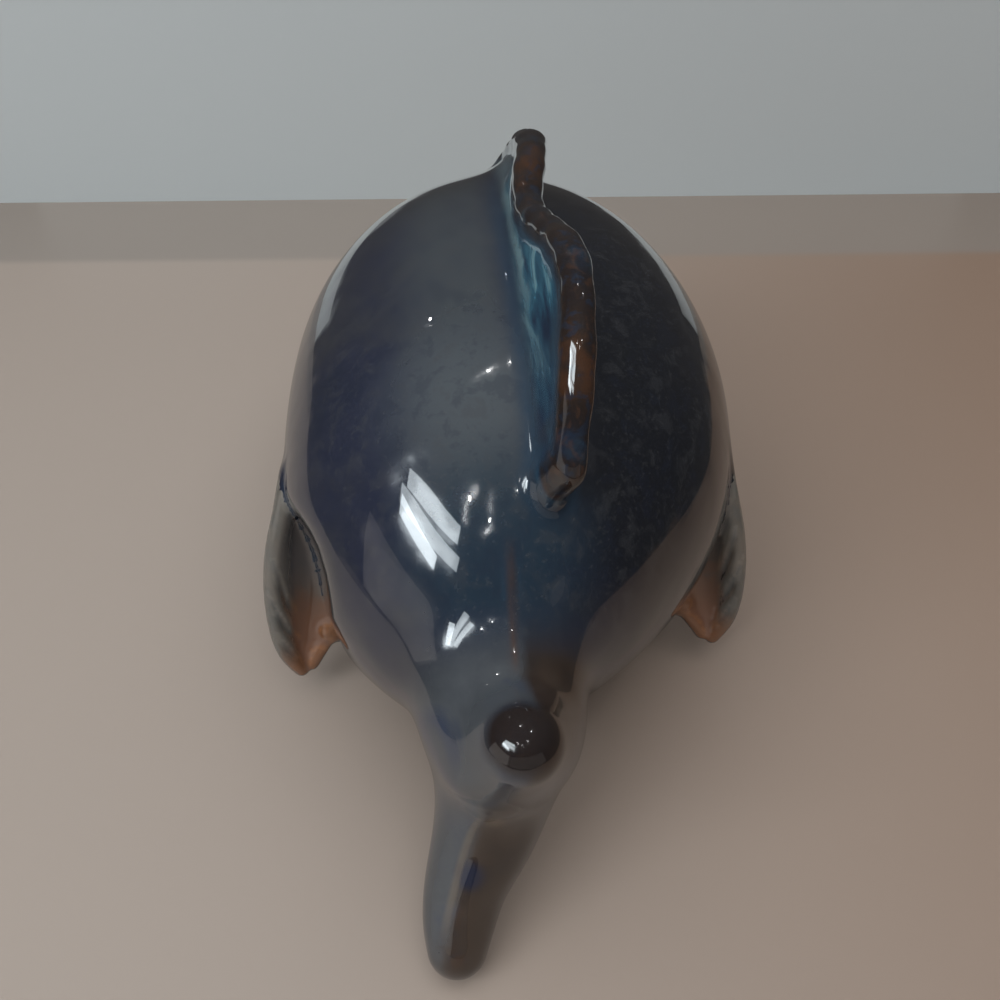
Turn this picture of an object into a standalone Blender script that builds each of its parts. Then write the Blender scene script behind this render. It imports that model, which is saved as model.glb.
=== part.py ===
"""Glazed slip-cast fish figurine, modelled at its real size in metres, +Z up.

The fish stands on a flat patch of its belly, with its head towards -Y and its tail towards +Y.
Its left side is +X. The body is a hollow casting with a pour hole in the foot. The fins, eyes and
lips are separate clay pieces, each cut to sit on the body with a thin luting gap.
"""

import math

import bmesh
import bpy
import numpy as np
from mathutils import Matrix, Vector

# Luting gap between a piece and the one that carries it
GAP = 0.0003

# Body: an egg laid on its side. The outline gives each station as a share of the head's or the rear's
# length, and the size of the section there as a share of the widest one.
BODY_HALF_WIDTH = 0.0600
BODY_HALF_HEIGHT = 0.0600
BODY_CENTRE_HEIGHT = 0.0564
HEAD_LENGTH = 0.0900
REAR_LENGTH = 0.1100
BODY_OUTLINE_SHARES = (
    (-1.00, 0.000),
    (-0.92, 0.309),
    (-0.75, 0.531),
    (-0.52, 0.733),
    (-0.24, 0.915),
    (0.07, 1.000),
    (0.34, 0.985),
    (0.56, 0.890),
    (0.75, 0.671),
    (0.88, 0.450),
    (1.00, 0.210),
    (1.10, 0.100),
)
TAIL_SWING = 0.0131
WALL = 0.0050
POUR_HOLE_RADIUS = 0.0065
POUR_HOLE_STATION = 0.0100
TAIL_JOINT_STATION = 0.1000

# Dorsal fin: each point of its edge as a station along the foot, in shares of the rear's length, and a
# height, in shares of the main lobe's height
DORSAL_HEIGHT = 0.0230
DORSAL_EDGE_SHARES = (
    (-0.455, 0.196),
    (-0.345, 0.587),
    (-0.200, 0.783),
    (-0.027, 0.674),
    (0.150, 0.530),
    (0.309, 0.826),
    (0.455, 1.000),
    (0.573, 0.904),
    (0.682, 0.730),
    (0.750, 0.574),
)
DORSAL_SIDESTEP = -0.0015
DORSAL_FRONT_DRIFT = 0.060
DORSAL_RAKE = 0.30
DORSAL_LEAN = math.radians(27)
DORSAL_RIM_THICKNESS = 0.0074
DORSAL_WEB_THICKNESS = 0.0044
DORSAL_ROOT_THICKNESS = 0.0080
DORSAL_ROOT_DEPTH = 0.0060

# Tail, in shares of its length: points of each lobe's centre line, as sideways, backward and upward
# distances from the middle of the joint, then half the lobe's thickness and half its depth there
TAIL_LENGTH = 0.0450
UPPER_LOBE_SHARES = (
    (-0.018, 0.200, 0.000, 0.278, 0.300),
    (-0.051, 0.400, 0.036, 0.240, 0.278),
    (-0.062, 0.533, 0.169, 0.200, 0.240),
    (-0.062, 0.622, 0.289, 0.173, 0.189),
)
LOWER_LOBE_SHARES = (
    (-0.029, 0.156, -0.133, 0.278, 0.267),
    (0.038, 0.333, -0.467, 0.284, 0.278),
    (0.116, 0.489, -0.689, 0.262, 0.256),
    (0.218, 0.644, -0.871, 0.227, 0.204),
    (0.276, 0.800, -1.027, 0.196, 0.167),
    (0.293, 0.900, -1.093, 0.164, 0.138),
)
TAIL_ROOT_STEP = 0.0030
LOBE_TIP_SHARE = 0.7
TAIL_SKIN_GRAIN = 0.0022
TAIL_SKIN_SMOOTHING = 6

# Pectoral fins: points of both edges, as outward, backward and upward distances from the shoulder, in
# shares of the fin's length. The inner edge is buried in the body.
SHOULDER_STATION = 0.048
SHOULDER_HEIGHT = 0.068
PECTORAL_LENGTH = 0.0600
PECTORAL_OUTER_SHARES = (
    (0.020, -0.083, -0.017),
    (0.075, 0.017, -0.133),
    (0.122, 0.075, -0.283),
    (0.149, 0.117, -0.433),
    (0.162, 0.150, -0.600),
    (0.155, 0.175, -0.800),
    (0.120, 0.183, -0.967),
)
PECTORAL_INNER_SHARES = (
    (-0.038, -0.133, 0.000),
    (-0.105, -0.083, -0.067),
    (-0.155, -0.042, -0.200),
    (-0.180, 0.000, -0.367),
    (-0.163, 0.042, -0.550),
    (-0.080, 0.092, -0.750),
    (0.037, 0.150, -0.933),
)
PECTORAL_THICKNESS = 0.0052
PECTORAL_CUP_DEPTH = 0.0045
PECTORAL_TIP_SHARE = 0.84
PECTORAL_TIP_ROUNDING = 0.70

# Flat that was pressed into the left flank behind the fin: its upper edge, measured as the fins are, and
# the direction that it runs in
PRESS_EDGE_SHARES = (
    (0.129, -0.133, -0.067),
    (0.034, 0.063, 0.000),
    (-0.050, 0.278, 0.105),
    (-0.088, 0.363, 0.110),
    (-0.118, 0.433, 0.087),
    (-0.141, 0.515, 0.020),
    (-0.146, 0.562, -0.072),
    (-0.138, 0.563, -0.187),
    (-0.171, 0.600, -0.300),
    (-0.205, 0.633, -0.633),
)
PRESS_DIRECTION = (-0.14, 0.66, 0.73)

# Eyes
EYE_STATION = -0.058
EYE_ELEVATION = math.radians(13)
EYE_RADIUS = 0.0080
EYE_SINK = 0.0030
EYE_RING_THICKNESS = 0.0036

# Lips
LIP_THICKNESS = 0.0070
LIP_CORNER_SHARE = 0.40
MOUTH_WIDTH = 0.0240
MOUTH_OPENING = 0.0030
MOUTH_LEVEL = 0.0500

# Facets
BODY_SEGMENTS = 44
BODY_RINGS = 13
LIMB_SEGMENTS = 20
LOBE_RINGS = 12
DORSAL_RINGS = 30
PECTORAL_RINGS = 18
PECTORAL_STEPS = 9
PROFILE_POINTS = 600


def spline(points, count):
    """Points on one smooth curve through the given ones, spaced evenly along it."""
    knots = np.array(points, float)
    lengths = np.linalg.norm(np.diff(knots, axis=0), axis=1)
    size = len(knots)
    bends = np.zeros((size, size))
    pull = np.zeros_like(knots)
    bends[0, 0] = bends[-1, -1] = 1.0
    for i in range(1, size - 1):
        before, after = lengths[i - 1], lengths[i]
        bends[i, i - 1 : i + 2] = (before, 2 * (before + after), after)
        pull[i] = 6 * ((knots[i + 1] - knots[i]) / after - (knots[i] - knots[i - 1]) / before)
    curve = np.linalg.solve(bends, pull)
    at = np.concatenate([[0.0], np.cumsum(lengths)])
    found = []
    for place in np.linspace(0.0, at[-1], count):
        i = min(int(np.searchsorted(at, place, side="right")) - 1, size - 2)
        span = lengths[i]
        b = (place - at[i]) / span
        a = 1.0 - b
        sag = ((a**3 - a) * curve[i] + (b**3 - b) * curve[i + 1]) * span**2 / 6
        found.append(a * knots[i] + b * knots[i + 1] + sag)
    return found


def body_profile():
    """Stations and section shares of the body's side, closely spaced from the nose to behind the joint."""
    knots = []
    for along, share in BODY_OUTLINE_SHARES:
        knots.append((along * (HEAD_LENGTH if along < 0 else REAR_LENGTH), share * BODY_HALF_WIDTH))
    under_nose = (knots[1][0], -knots[1][1])
    whole = spline([under_nose] + knots, PROFILE_POINTS)
    nose = min(range(PROFILE_POINTS // 2), key=lambda i: whole[i][0])
    stations = [p[0] for p in whole[nose:]]
    shares = [max(0.0, p[1] / BODY_HALF_WIDTH) for p in whole[nose:]]
    return stations, shares


PROFILE_STATIONS, PROFILE_SHARES = body_profile()
NOSE_STATION = PROFILE_STATIONS[0]


def body_share(station):
    """Size of the body's section at a station, as a share of its largest section."""
    return float(np.interp(station, PROFILE_STATIONS, PROFILE_SHARES))


def body_centre(station):
    """Centre of the body's section: the rear swings to the fish's left."""
    swing = TAIL_SWING * max(0.0, station / REAR_LENGTH) ** 2
    return Vector((swing, station, BODY_CENTRE_HEIGHT))


def body_point(station, angle):
    """Point of the body's surface, at an angle from the fish's left side up over its back."""
    share = body_share(station)
    across = BODY_HALF_WIDTH * share * math.cos(angle)
    up = BODY_HALF_HEIGHT * share * math.sin(angle)
    return body_centre(station) + Vector((across, 0.0, up))


def body_normal(station, angle):
    """Outward direction at a point of the body's surface."""
    step = HEAD_LENGTH / 100
    along = body_point(station + step, angle) - body_point(station - step, angle)
    turn = body_point(station, angle + 0.01) - body_point(station, angle - 0.01)
    return along.cross(turn).normalized()


def body_side(station, height):
    """Half the body's width at a station and a height."""
    share = body_share(station)
    level = (height - BODY_CENTRE_HEIGHT) / (BODY_HALF_HEIGHT * share)
    return BODY_HALF_WIDTH * share * math.sqrt(max(0.0, 1.0 - level**2))


def body_back(station, sidestep):
    """Point on top of the body, at a station and a sideways distance from the figurine's middle plane."""
    share = body_share(station)
    centre = body_centre(station)
    aside = (sidestep - centre.x) / (BODY_HALF_WIDTH * share)
    return Vector((sidestep, station, centre.z + BODY_HALF_HEIGHT * share * math.sqrt(1.0 - aside**2)))


def snout_station(across, level):
    """Station of the head's surface straight ahead of a point."""
    share = math.hypot(across / BODY_HALF_WIDTH, (level - BODY_CENTRE_HEIGHT) / BODY_HALF_HEIGHT)
    head = int(np.argmax(PROFILE_SHARES))
    return float(np.interp(share, PROFILE_SHARES[:head], PROFILE_STATIONS[:head]))


def loft(rings):
    """Closed surface through rings of equal length, with flat ends. A ring of one point is a pole."""
    bm = bmesh.new()
    loops = [[bm.verts.new(p) for p in ring] for ring in rings]
    for lower, upper in zip(loops, loops[1:]):
        size = max(len(lower), len(upper))
        for i in range(size):
            j = (i + 1) % size
            corners = [lower[i % len(lower)], lower[j % len(lower)], upper[j % len(upper)], upper[i % len(upper)]]
            bm.faces.new(list(dict.fromkeys(corners)))
    for loop in (loops[0], loops[-1]):
        if len(loop) > 2:
            bm.faces.new(loop)
    bmesh.ops.recalc_face_normals(bm, faces=bm.faces)
    return bm


def trim(bm, point, direction):
    """Cuts a closed mesh with a plane, drops the side that the direction points to and closes the cut."""
    geometry = bm.verts[:] + bm.edges[:] + bm.faces[:]
    cut = bmesh.ops.bisect_plane(
        bm, geom=geometry, dist=1e-7, plane_co=point, plane_no=direction, clear_outer=True
    )
    rim = [e for e in cut["geom_cut"] if isinstance(e, bmesh.types.BMEdge)]
    bmesh.ops.edgeloop_fill(bm, edges=rim)
    bmesh.ops.recalc_face_normals(bm, faces=bm.faces)


def circle(count, radius):
    """Points round a circle, as pairs."""
    turns = [2 * math.pi * i / count for i in range(count)]
    return [(radius * math.cos(a), radius * math.sin(a)) for a in turns]


def glaze(name, colour, roughness=0.12):
    """Fired glaze."""
    material = bpy.data.materials.new(name)
    material.use_nodes = True
    shader = material.node_tree.nodes["Principled BSDF"]
    shader.inputs["Base Color"].default_value = (*colour, 1.0)
    shader.inputs["Roughness"].default_value = roughness
    shader.inputs["Metallic"].default_value = 0.0
    return material


def add(name, bm, figurine):
    """Object from a mesh under construction, carried by the figurine."""
    mesh = bpy.data.meshes.new(name)
    bm.to_mesh(mesh)
    bm.free()
    obj = bpy.data.objects.new(name, mesh)
    obj.parent = figurine
    bpy.context.scene.collection.objects.link(obj)
    return obj


def piece(name, bm, material, figurine):
    """Named sub-part, shaded smooth."""
    obj = add(name, bm, figurine)
    obj.data.shade_smooth()
    obj.data.set_sharp_from_angle(angle=math.radians(40))
    obj.data.materials.append(material)
    return obj


def guide(name, bm, figurine):
    """Solid that only shapes other pieces."""
    obj = add(name, bm, figurine)
    obj.hide_render = True
    obj.display_type = "WIRE"
    return obj


def combine(obj, tool, operation):
    """Takes a guide solid out of a piece, or joins it on."""
    boolean = obj.modifiers.new(tool.name, "BOOLEAN")
    boolean.operation = operation
    boolean.solver = "EXACT"
    boolean.object = tool


def offset(obj, distance):
    """Grows a guide solid by a distance, or shrinks it by a negative one."""
    grow = obj.modifiers.new("offset", "DISPLACE")
    grow.strength = distance
    grow.mid_level = 0.0
    return obj


def tail_joint():
    """Centre of the plane where the tail is luted to the body, and the direction of the tail there."""
    centre = body_centre(TAIL_JOINT_STATION)
    return centre, (centre - body_centre(TAIL_JOINT_STATION - TAIL_ROOT_STEP)).normalized()


def body_section(station, segments):
    """Points round the body at a station."""
    return [body_point(station, 2 * math.pi * i / segments) for i in range(segments)]


def body_outside():
    """Solid egg of the body, cut flat for the foot and square for the tail."""
    centre, direction = tail_joint()
    rings = [[body_centre(NOSE_STATION)]]
    for k in range(1, BODY_RINGS + 1):
        rings.append(body_section(NOSE_STATION * math.cos(math.pi / 2 * k / BODY_RINGS), BODY_SEGMENTS))
    last = TAIL_JOINT_STATION + WALL
    for k in range(1, BODY_RINGS + 1):
        rings.append(body_section(last * k / BODY_RINGS, BODY_SEGMENTS))
    bm = loft(rings)
    trim(bm, (0, 0, 0), (0, 0, -1))
    trim(bm, centre, direction)
    return bm


def shoulder():
    """Point of the left flank that the pectoral fins and the pressed flat are measured from."""
    return Vector((body_side(SHOULDER_STATION, SHOULDER_HEIGHT), SHOULDER_STATION, SHOULDER_HEIGHT))


def press(step):
    """Solid that presses the left flank flat, moved outward by a step."""
    direction = Vector(PRESS_DIRECTION).normalized()
    outward = direction.cross(Vector((0.0, 0.0, 1.0))).normalized()
    edge = [Vector(p) * PECTORAL_LENGTH + outward * step for p in PRESS_EDGE_SHARES]
    edge = [p - direction * p.dot(direction) for p in edge]
    edge += [edge[-1] + outward * BODY_HALF_WIDTH, edge[0] + outward * BODY_HALF_WIDTH]
    ends = []
    for way in (-BODY_HALF_WIDTH, BODY_HALF_WIDTH):
        ends.append([shoulder() + p + direction * way for p in edge])
    return loft(ends)


def make_body(material, figurine):
    """Hollow cast body with a flat foot, a pressed flank, a pour hole and a flat end for the tail."""
    body = piece("body_shell", body_outside(), material, figurine)
    combine(body, guide("flank_press", press(0.0), figurine), "DIFFERENCE")
    cavity = offset(guide("cavity", body_outside(), figurine), -WALL)
    combine(cavity, guide("cavity_press", press(-WALL), figurine), "DIFFERENCE")
    combine(body, cavity, "DIFFERENCE")
    hole = bmesh.new()
    bmesh.ops.create_cone(
        hole,
        cap_ends=True,
        segments=24,
        radius1=POUR_HOLE_RADIUS,
        radius2=POUR_HOLE_RADIUS,
        depth=4 * WALL,
        matrix=Matrix.Translation((0, POUR_HOLE_STATION, 0)),
    )
    combine(body, guide("pour_hole", hole, figurine), "DIFFERENCE")
    return body


def make_seat(figurine):
    """The body's outside grown by the luting gap: what sits on the body is cut by it."""
    seat = offset(guide("body_seat", body_outside(), figurine), GAP)
    combine(seat, guide("seat_press", press(GAP), figurine), "DIFFERENCE")
    return seat


def dorsal_section(height, slimness):
    """Section of the dorsal fin: sideways and upward distances round it, from its left foot to its right."""
    rim = min(DORSAL_RIM_THICKNESS / 2, 0.48 * height) * slimness
    web = min(DORSAL_WEB_THICKNESS / 2, 0.9 * rim / slimness) * slimness
    root = DORSAL_ROOT_THICKNESS / 2 * slimness
    centre = height - rim
    neck = centre - rim / 2
    side = [(root, -DORSAL_ROOT_DEPTH), (root, 0.0), (web, 0.3 * neck), (web, 0.7 * neck)]
    for degrees in (-30, 0, 30, 60):
        turn = math.radians(degrees)
        side.append((rim * math.cos(turn), centre + rim * math.sin(turn)))
    left = [(-n, h) for n, h in side]
    return left + [(0.0, height)] + side[::-1]


def make_dorsal(material, seat, figurine):
    """Fin along the back, with a low front lobe, a notch and a long main lobe, leaning to the right."""
    points = [(along * REAR_LENGTH, share * DORSAL_HEIGHT) for along, share in DORSAL_EDGE_SHARES]
    edge = [(station, height, 1.0) for station, height in spline(points, DORSAL_RINGS)]
    last, height, _ = edge[-1]
    rim = DORSAL_RIM_THICKNESS / 2
    for degrees in (30, 60, 82):
        turn = math.radians(degrees)
        edge.append((last + rim * math.sin(turn), height - rim * (1 - math.cos(turn)), math.cos(turn)))
    up = Vector((-math.sin(DORSAL_LEAN), DORSAL_RAKE, math.cos(DORSAL_LEAN)))
    sideways = Vector((math.cos(DORSAL_LEAN), 0.0, math.sin(DORSAL_LEAN)))
    rings = []
    for station, height, slimness in edge:
        foot = body_back(station, DORSAL_SIDESTEP - DORSAL_FRONT_DRIFT * max(0.0, -station))
        rings.append([foot + sideways * n + up * h for n, h in dorsal_section(height, slimness)])
    fin = piece("dorsal_fin", loft(rings), material, figurine)
    combine(fin, seat, "DIFFERENCE")
    return fin


def lobe(points):
    """One lobe of the tail, with oval sections, from the tail's root to its rounded tip."""
    origin, _ = tail_joint()
    shapes = spline(np.array(points) * TAIL_LENGTH, LOBE_RINGS)
    path = [Vector(shape[:3]) for shape in shapes]
    rings = []
    for k, (place, shape) in enumerate(zip(path, shapes)):
        ahead = path[min(k + 1, LOBE_RINGS - 1)] - path[max(k - 1, 0)]
        ahead.x = 0.0
        ahead.normalize()
        across = Vector((0.0, ahead.z, -ahead.y)) * shape[4]
        aside = Vector((shape[3], 0.0, 0.0))
        rings.append([origin + place + across * c + aside * s for c, s in circle(LIMB_SEGMENTS, 1.0)])
    onward = (path[-1] - path[-2]).normalized()
    rings.append([origin + path[-1] + onward * LOBE_TIP_SHARE * shapes[-1][3]])
    return loft(rings)


def make_tail(material, figurine):
    """Thick tail fin of two lobes under one smooth skin, carried on the body's flat rear end."""
    centre, direction = tail_joint()
    root = []
    for step in range(-4, 4):
        root.append(body_section(TAIL_JOINT_STATION + TAIL_ROOT_STEP * step, LIMB_SEGMENTS))
    tail = piece("tail_fin", loft(root), material, figurine)
    combine(tail, guide("upper_lobe", lobe(UPPER_LOBE_SHARES), figurine), "UNION")
    combine(tail, guide("lower_lobe", lobe(LOWER_LOBE_SHARES), figurine), "UNION")
    skin = tail.modifiers.new("one skin", "REMESH")
    skin.mode = "VOXEL"
    skin.voxel_size = TAIL_SKIN_GRAIN
    soften = tail.modifiers.new("soften", "SMOOTH")
    soften.factor = 0.5
    soften.iterations = TAIL_SKIN_SMOOTHING
    block = bmesh.new()
    bmesh.ops.create_cube(block, size=2 * BODY_HALF_WIDTH)
    square = direction.to_track_quat("Y", "Z").to_matrix().to_4x4()
    place = Matrix.Translation(centre + direction * (GAP - BODY_HALF_WIDTH)) @ square
    bmesh.ops.transform(block, matrix=place, verts=block.verts)
    combine(tail, guide("tail_face", block, figurine), "DIFFERENCE")
    return tail


def make_pectoral(name, side, material, seat, figurine):
    """Cupped flap that stands out from the flank, with its palm towards the tail."""
    outer = [shoulder() + Vector(p) * PECTORAL_LENGTH for p in spline(PECTORAL_OUTER_SHARES, PECTORAL_RINGS)]
    inner = [shoulder() + Vector(p) * PECTORAL_LENGTH for p in spline(PECTORAL_INNER_SHARES, PECTORAL_RINGS)]
    rings = []
    for k in range(PECTORAL_RINGS):
        share = k / (PECTORAL_RINGS - 1)
        tip = max(0.0, share - PECTORAL_TIP_SHARE) / (1 - PECTORAL_TIP_SHARE)
        width = math.sqrt(1 - PECTORAL_TIP_ROUNDING * tip**2)
        thick = PECTORAL_THICKNESS / 2 * (0.80 + 0.20 * math.sin(math.pi * share))
        chord = (inner[k] - outer[k]) * width
        chord += chord.normalized() * 2 * thick
        start = (inner[k] + outer[k]) / 2 - chord / 2
        along = outer[min(k + 1, PECTORAL_RINGS - 1)] - outer[max(k - 1, 0)]
        normal = along.cross(chord).normalized()
        cup = PECTORAL_CUP_DEPTH * math.sin(math.pi * (0.1 + 0.8 * share))
        palm = []
        back = []
        for i in range(PECTORAL_STEPS + 1):
            v = i / PECTORAL_STEPS
            edge = max(0.15, math.sqrt(max(0.0, 1 - (2 * v - 1) ** 6)))
            middle = start + chord * v - normal * cup * 4 * v * (1 - v)
            palm.append(middle + normal * thick * edge)
            back.append(middle - normal * thick * edge)
        rings.append(palm + back[::-1])
    rings.append([(inner[-1] + outer[-1]) / 2 + along.normalized() * PECTORAL_THICKNESS / 2])
    bm = loft(rings)
    middle_plane = body_centre(SHOULDER_STATION + PECTORAL_OUTER_SHARES[-1][1] * PECTORAL_LENGTH).x
    for v in bm.verts:
        v.co.x = middle_plane + side * (v.co.x - middle_plane)
    bmesh.ops.recalc_face_normals(bm, faces=bm.faces)
    fin = piece(name, bm, material, figurine)
    combine(fin, seat, "DIFFERENCE")
    return fin


def make_eye(side_name, side, dark, amber, seat, figurine):
    """Domed eyeball with a coil of clay laid round it."""
    angle = EYE_ELEVATION if side > 0 else math.pi - EYE_ELEVATION
    normal = body_normal(EYE_STATION, angle)
    turn = normal.to_track_quat("Z", "Y").to_matrix().to_4x4()
    frame = Matrix.Translation(body_point(EYE_STATION, angle) - normal * EYE_SINK) @ turn
    ball = bmesh.new()
    bmesh.ops.create_uvsphere(ball, u_segments=20, v_segments=12, radius=EYE_RADIUS, matrix=frame)
    eye = piece(side_name + "_eye", ball, dark, figurine)
    combine(eye, seat, "DIFFERENCE")

    reach = math.sqrt(EYE_RADIUS**2 - EYE_SINK**2) + GAP + EYE_RING_THICKNESS / 2
    rings = []
    for c, s in circle(24, 1.0):
        outward = Vector((c, s, 0.0))
        middle = outward * reach + Vector((0.0, 0.0, EYE_SINK))
        rings.append([middle + outward * a + Vector((0.0, 0.0, b)) for a, b in circle(10, EYE_RING_THICKNESS / 2)])
    coil = bmesh.new()
    loops = [[coil.verts.new(frame @ p) for p in ring] for ring in rings]
    for loop, following in zip(loops, loops[1:] + loops[:1]):
        for i in range(len(loop)):
            j = (i + 1) % len(loop)
            coil.faces.new((loop[i], loop[j], following[j], following[i]))
    bmesh.ops.recalc_face_normals(coil, faces=coil.faces)
    ring = piece(side_name + "_eye_ring", coil, amber, figurine)
    combine(ring, seat, "DIFFERENCE")
    return eye, ring


def make_lip(name, direction, material, seat, figurine):
    """One lip: a bar of clay bowed across the snout and tapering to the mouth's corners."""
    count = 15
    rings = []
    for k in range(count):
        turn = math.pi * (k / (count - 1) - 0.5)
        bow = math.cos(turn)
        radius = LIP_THICKNESS / 2 * (LIP_CORNER_SHARE + (1 - LIP_CORNER_SHARE) * bow)
        across = MOUTH_WIDTH / 2 * math.sin(turn)
        level = MOUTH_LEVEL + direction * (MOUTH_OPENING / 2 * bow + GAP / 2 + radius)
        middle = Vector((across, snout_station(across, level), level))
        rings.append([middle + Vector((0.0, a, b)) for a, b in circle(12, radius)])
    lip = piece(name, loft(rings), material, figurine)
    combine(lip, seat, "DIFFERENCE")
    return lip


def stand_on_origin(figurine):
    """Puts the origin under the middle of the figurine, on the surface it stands on."""
    bpy.context.view_layer.update()
    depsgraph = bpy.context.evaluated_depsgraph_get()
    corners = []
    for obj in figurine.children:
        if not obj.hide_render:
            seen = obj.evaluated_get(depsgraph)
            corners += [seen.matrix_world @ v.co for v in seen.data.vertices]
    for axis in (0, 1):
        values = [c[axis] for c in corners]
        figurine.location[axis] = -(min(values) + max(values)) / 2
    figurine.location.z = -min(c.z for c in corners)


def main():
    for obj in list(bpy.data.objects):
        bpy.data.objects.remove(obj, do_unlink=True)
    figurine = bpy.data.objects.new("figurine", None)
    bpy.context.scene.collection.objects.link(figurine)

    slate = glaze("slate blue glaze", (0.055, 0.065, 0.095))
    teal = glaze("teal and amber glaze", (0.045, 0.120, 0.170))
    grey_blue = glaze("grey blue glaze", (0.130, 0.150, 0.180))
    sage = glaze("grey green to amber glaze", (0.230, 0.200, 0.150))
    dark = glaze("dark glaze", (0.020, 0.018, 0.020))
    amber = glaze("amber glaze", (0.200, 0.090, 0.035))

    make_body(slate, figurine)
    seat = make_seat(figurine)
    make_dorsal(teal, seat, figurine)
    make_tail(grey_blue, figurine)
    for side_name, side in (("left", 1.0), ("right", -1.0)):
        make_pectoral(side_name + "_pectoral_fin", side, sage, seat, figurine)
        make_eye(side_name, side, dark, amber, seat, figurine)
    make_lip("upper_lip", 1.0, amber, seat, figurine)
    make_lip("lower_lip", -1.0, amber, seat, figurine)
    stand_on_origin(figurine)


main()
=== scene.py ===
"""Looks of the glazed ceramic fish figurine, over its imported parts.

Every clay piece gets a smooth skin that flows into its neighbours as glaze does, and a reactive glaze
that breaks to amber where it runs thin and turns blue where it pools. Lengths are in metres, colours in
thousandths of full brightness.
"""

import math

import bmesh
import bpy
import numpy as np
from mathutils import Matrix, Vector
from mathutils.bvhtree import BVHTree


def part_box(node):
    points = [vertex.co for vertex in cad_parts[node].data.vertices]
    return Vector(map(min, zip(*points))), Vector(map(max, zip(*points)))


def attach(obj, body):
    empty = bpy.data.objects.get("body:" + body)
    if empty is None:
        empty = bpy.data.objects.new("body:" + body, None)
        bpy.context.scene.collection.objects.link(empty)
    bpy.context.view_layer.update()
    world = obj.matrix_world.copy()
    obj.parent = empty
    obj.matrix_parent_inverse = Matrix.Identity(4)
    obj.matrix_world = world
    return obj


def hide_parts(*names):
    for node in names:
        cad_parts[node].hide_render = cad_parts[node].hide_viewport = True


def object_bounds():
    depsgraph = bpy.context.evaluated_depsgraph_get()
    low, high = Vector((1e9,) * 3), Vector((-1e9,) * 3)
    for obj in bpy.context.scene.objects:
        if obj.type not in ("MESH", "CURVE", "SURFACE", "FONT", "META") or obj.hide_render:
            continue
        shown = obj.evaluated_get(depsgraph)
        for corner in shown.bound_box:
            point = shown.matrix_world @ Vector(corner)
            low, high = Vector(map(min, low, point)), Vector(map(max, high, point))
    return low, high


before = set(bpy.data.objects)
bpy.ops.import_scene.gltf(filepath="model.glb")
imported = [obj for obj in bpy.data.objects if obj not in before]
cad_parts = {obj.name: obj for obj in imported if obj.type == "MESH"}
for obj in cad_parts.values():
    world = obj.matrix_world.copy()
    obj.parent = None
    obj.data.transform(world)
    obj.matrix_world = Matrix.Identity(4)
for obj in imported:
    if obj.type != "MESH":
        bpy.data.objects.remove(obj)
cad_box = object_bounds()

# Body, with the same measures as the clay parts
BODY_HALF_WIDTH = 0.0600
BODY_CENTRE_HEIGHT = 0.0564
HEAD_LENGTH = 0.0900
REAR_LENGTH = 0.1100
BODY_OUTLINE_SHARES = (
    (-1.00, 0.000),
    (-0.92, 0.309),
    (-0.75, 0.531),
    (-0.52, 0.733),
    (-0.24, 0.915),
    (0.07, 1.000),
    (0.34, 0.985),
    (0.56, 0.890),
    (0.75, 0.671),
    (0.88, 0.450),
    (1.00, 0.210),
    (1.10, 0.100),
)
TAIL_SWING = 0.0131
TAIL_JOINT_STATION = 0.1000
FOOT_EDGE_ROUNDING = 0.0020
POUR_HOLE_RADIUS = 0.0065
POUR_HOLE_STATION = 0.0100
WELL_RADIUS = 0.0140
WELL_HEIGHT = 0.0190
WELL_FLOOD = 0.0020
WELL_EDGE_ROUNDING = 0.0010
PROFILE_POINTS = 3000

# Mould seam under the dorsal fin's rear end: its stations and its sideways places there, where it rises and
# fades along and up the body, and the size of its ridge
SEAM_STATIONS = (0.0930, 0.1130)
SEAM_SIDESTEPS = (0.0070, 0.0080)
SEAM_RISE = (0.0890, 0.0970)
SEAM_FADE = (0.1150, 0.1090)
SEAM_FLOOR = (0.0550, 0.0620)
SEAM_HEIGHT = 0.0004
SEAM_WIDTH = 0.0008

# Dorsal fin
DORSAL_HEIGHT = 0.0230
DORSAL_EDGE_SHARES = (
    (-0.455, 0.196),
    (-0.345, 0.587),
    (-0.200, 0.783),
    (-0.027, 0.674),
    (0.150, 0.530),
    (0.309, 0.826),
    (0.455, 1.000),
    (0.573, 0.904),
    (0.682, 0.730),
    (0.750, 0.574),
)
DORSAL_SIDESTEP = -0.0015
DORSAL_FRONT_DRIFT = 0.060
DORSAL_RAKE = 0.30
DORSAL_LEAN = math.radians(27)
DORSAL_RIM_RADIUS = 0.0037
DORSAL_WEB_THICKNESS = 0.0040
DORSAL_WEB_FLOOD = 0.0025
DORSAL_FLOOD = 0.0045
DORSAL_FRONT_FLOOD = 0.0060
DORSAL_FRONT = (-0.010, -0.034)
DORSAL_PLACE_TRIES = 5

# Rim of the dorsal fin: its number of points, how it runs into the back at its ends, the size, turns and
# start of its lumps, its swelling on the front lobe, its slimmer front end and where its colour ends
RIM_POINTS = 60
RIM_FRONT_RUN = 2.2 * DORSAL_RIM_RADIUS
RIM_REAR_STEP = (0.0002, -0.0030)
RIM_LUMPS = ((0.050, 0.62, 0.0), (0.035, 1.70, 1.0))
RIM_SWELLING = (0.10, 14, 8)
RIM_FRONT_SHARE = 0.60
RIM_FRONT_SPAN = (-1.0, 8.0)
RIM_COLOUR_EDGE = (1.55 * DORSAL_RIM_RADIUS, 1.02 * DORSAL_RIM_RADIUS)

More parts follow.
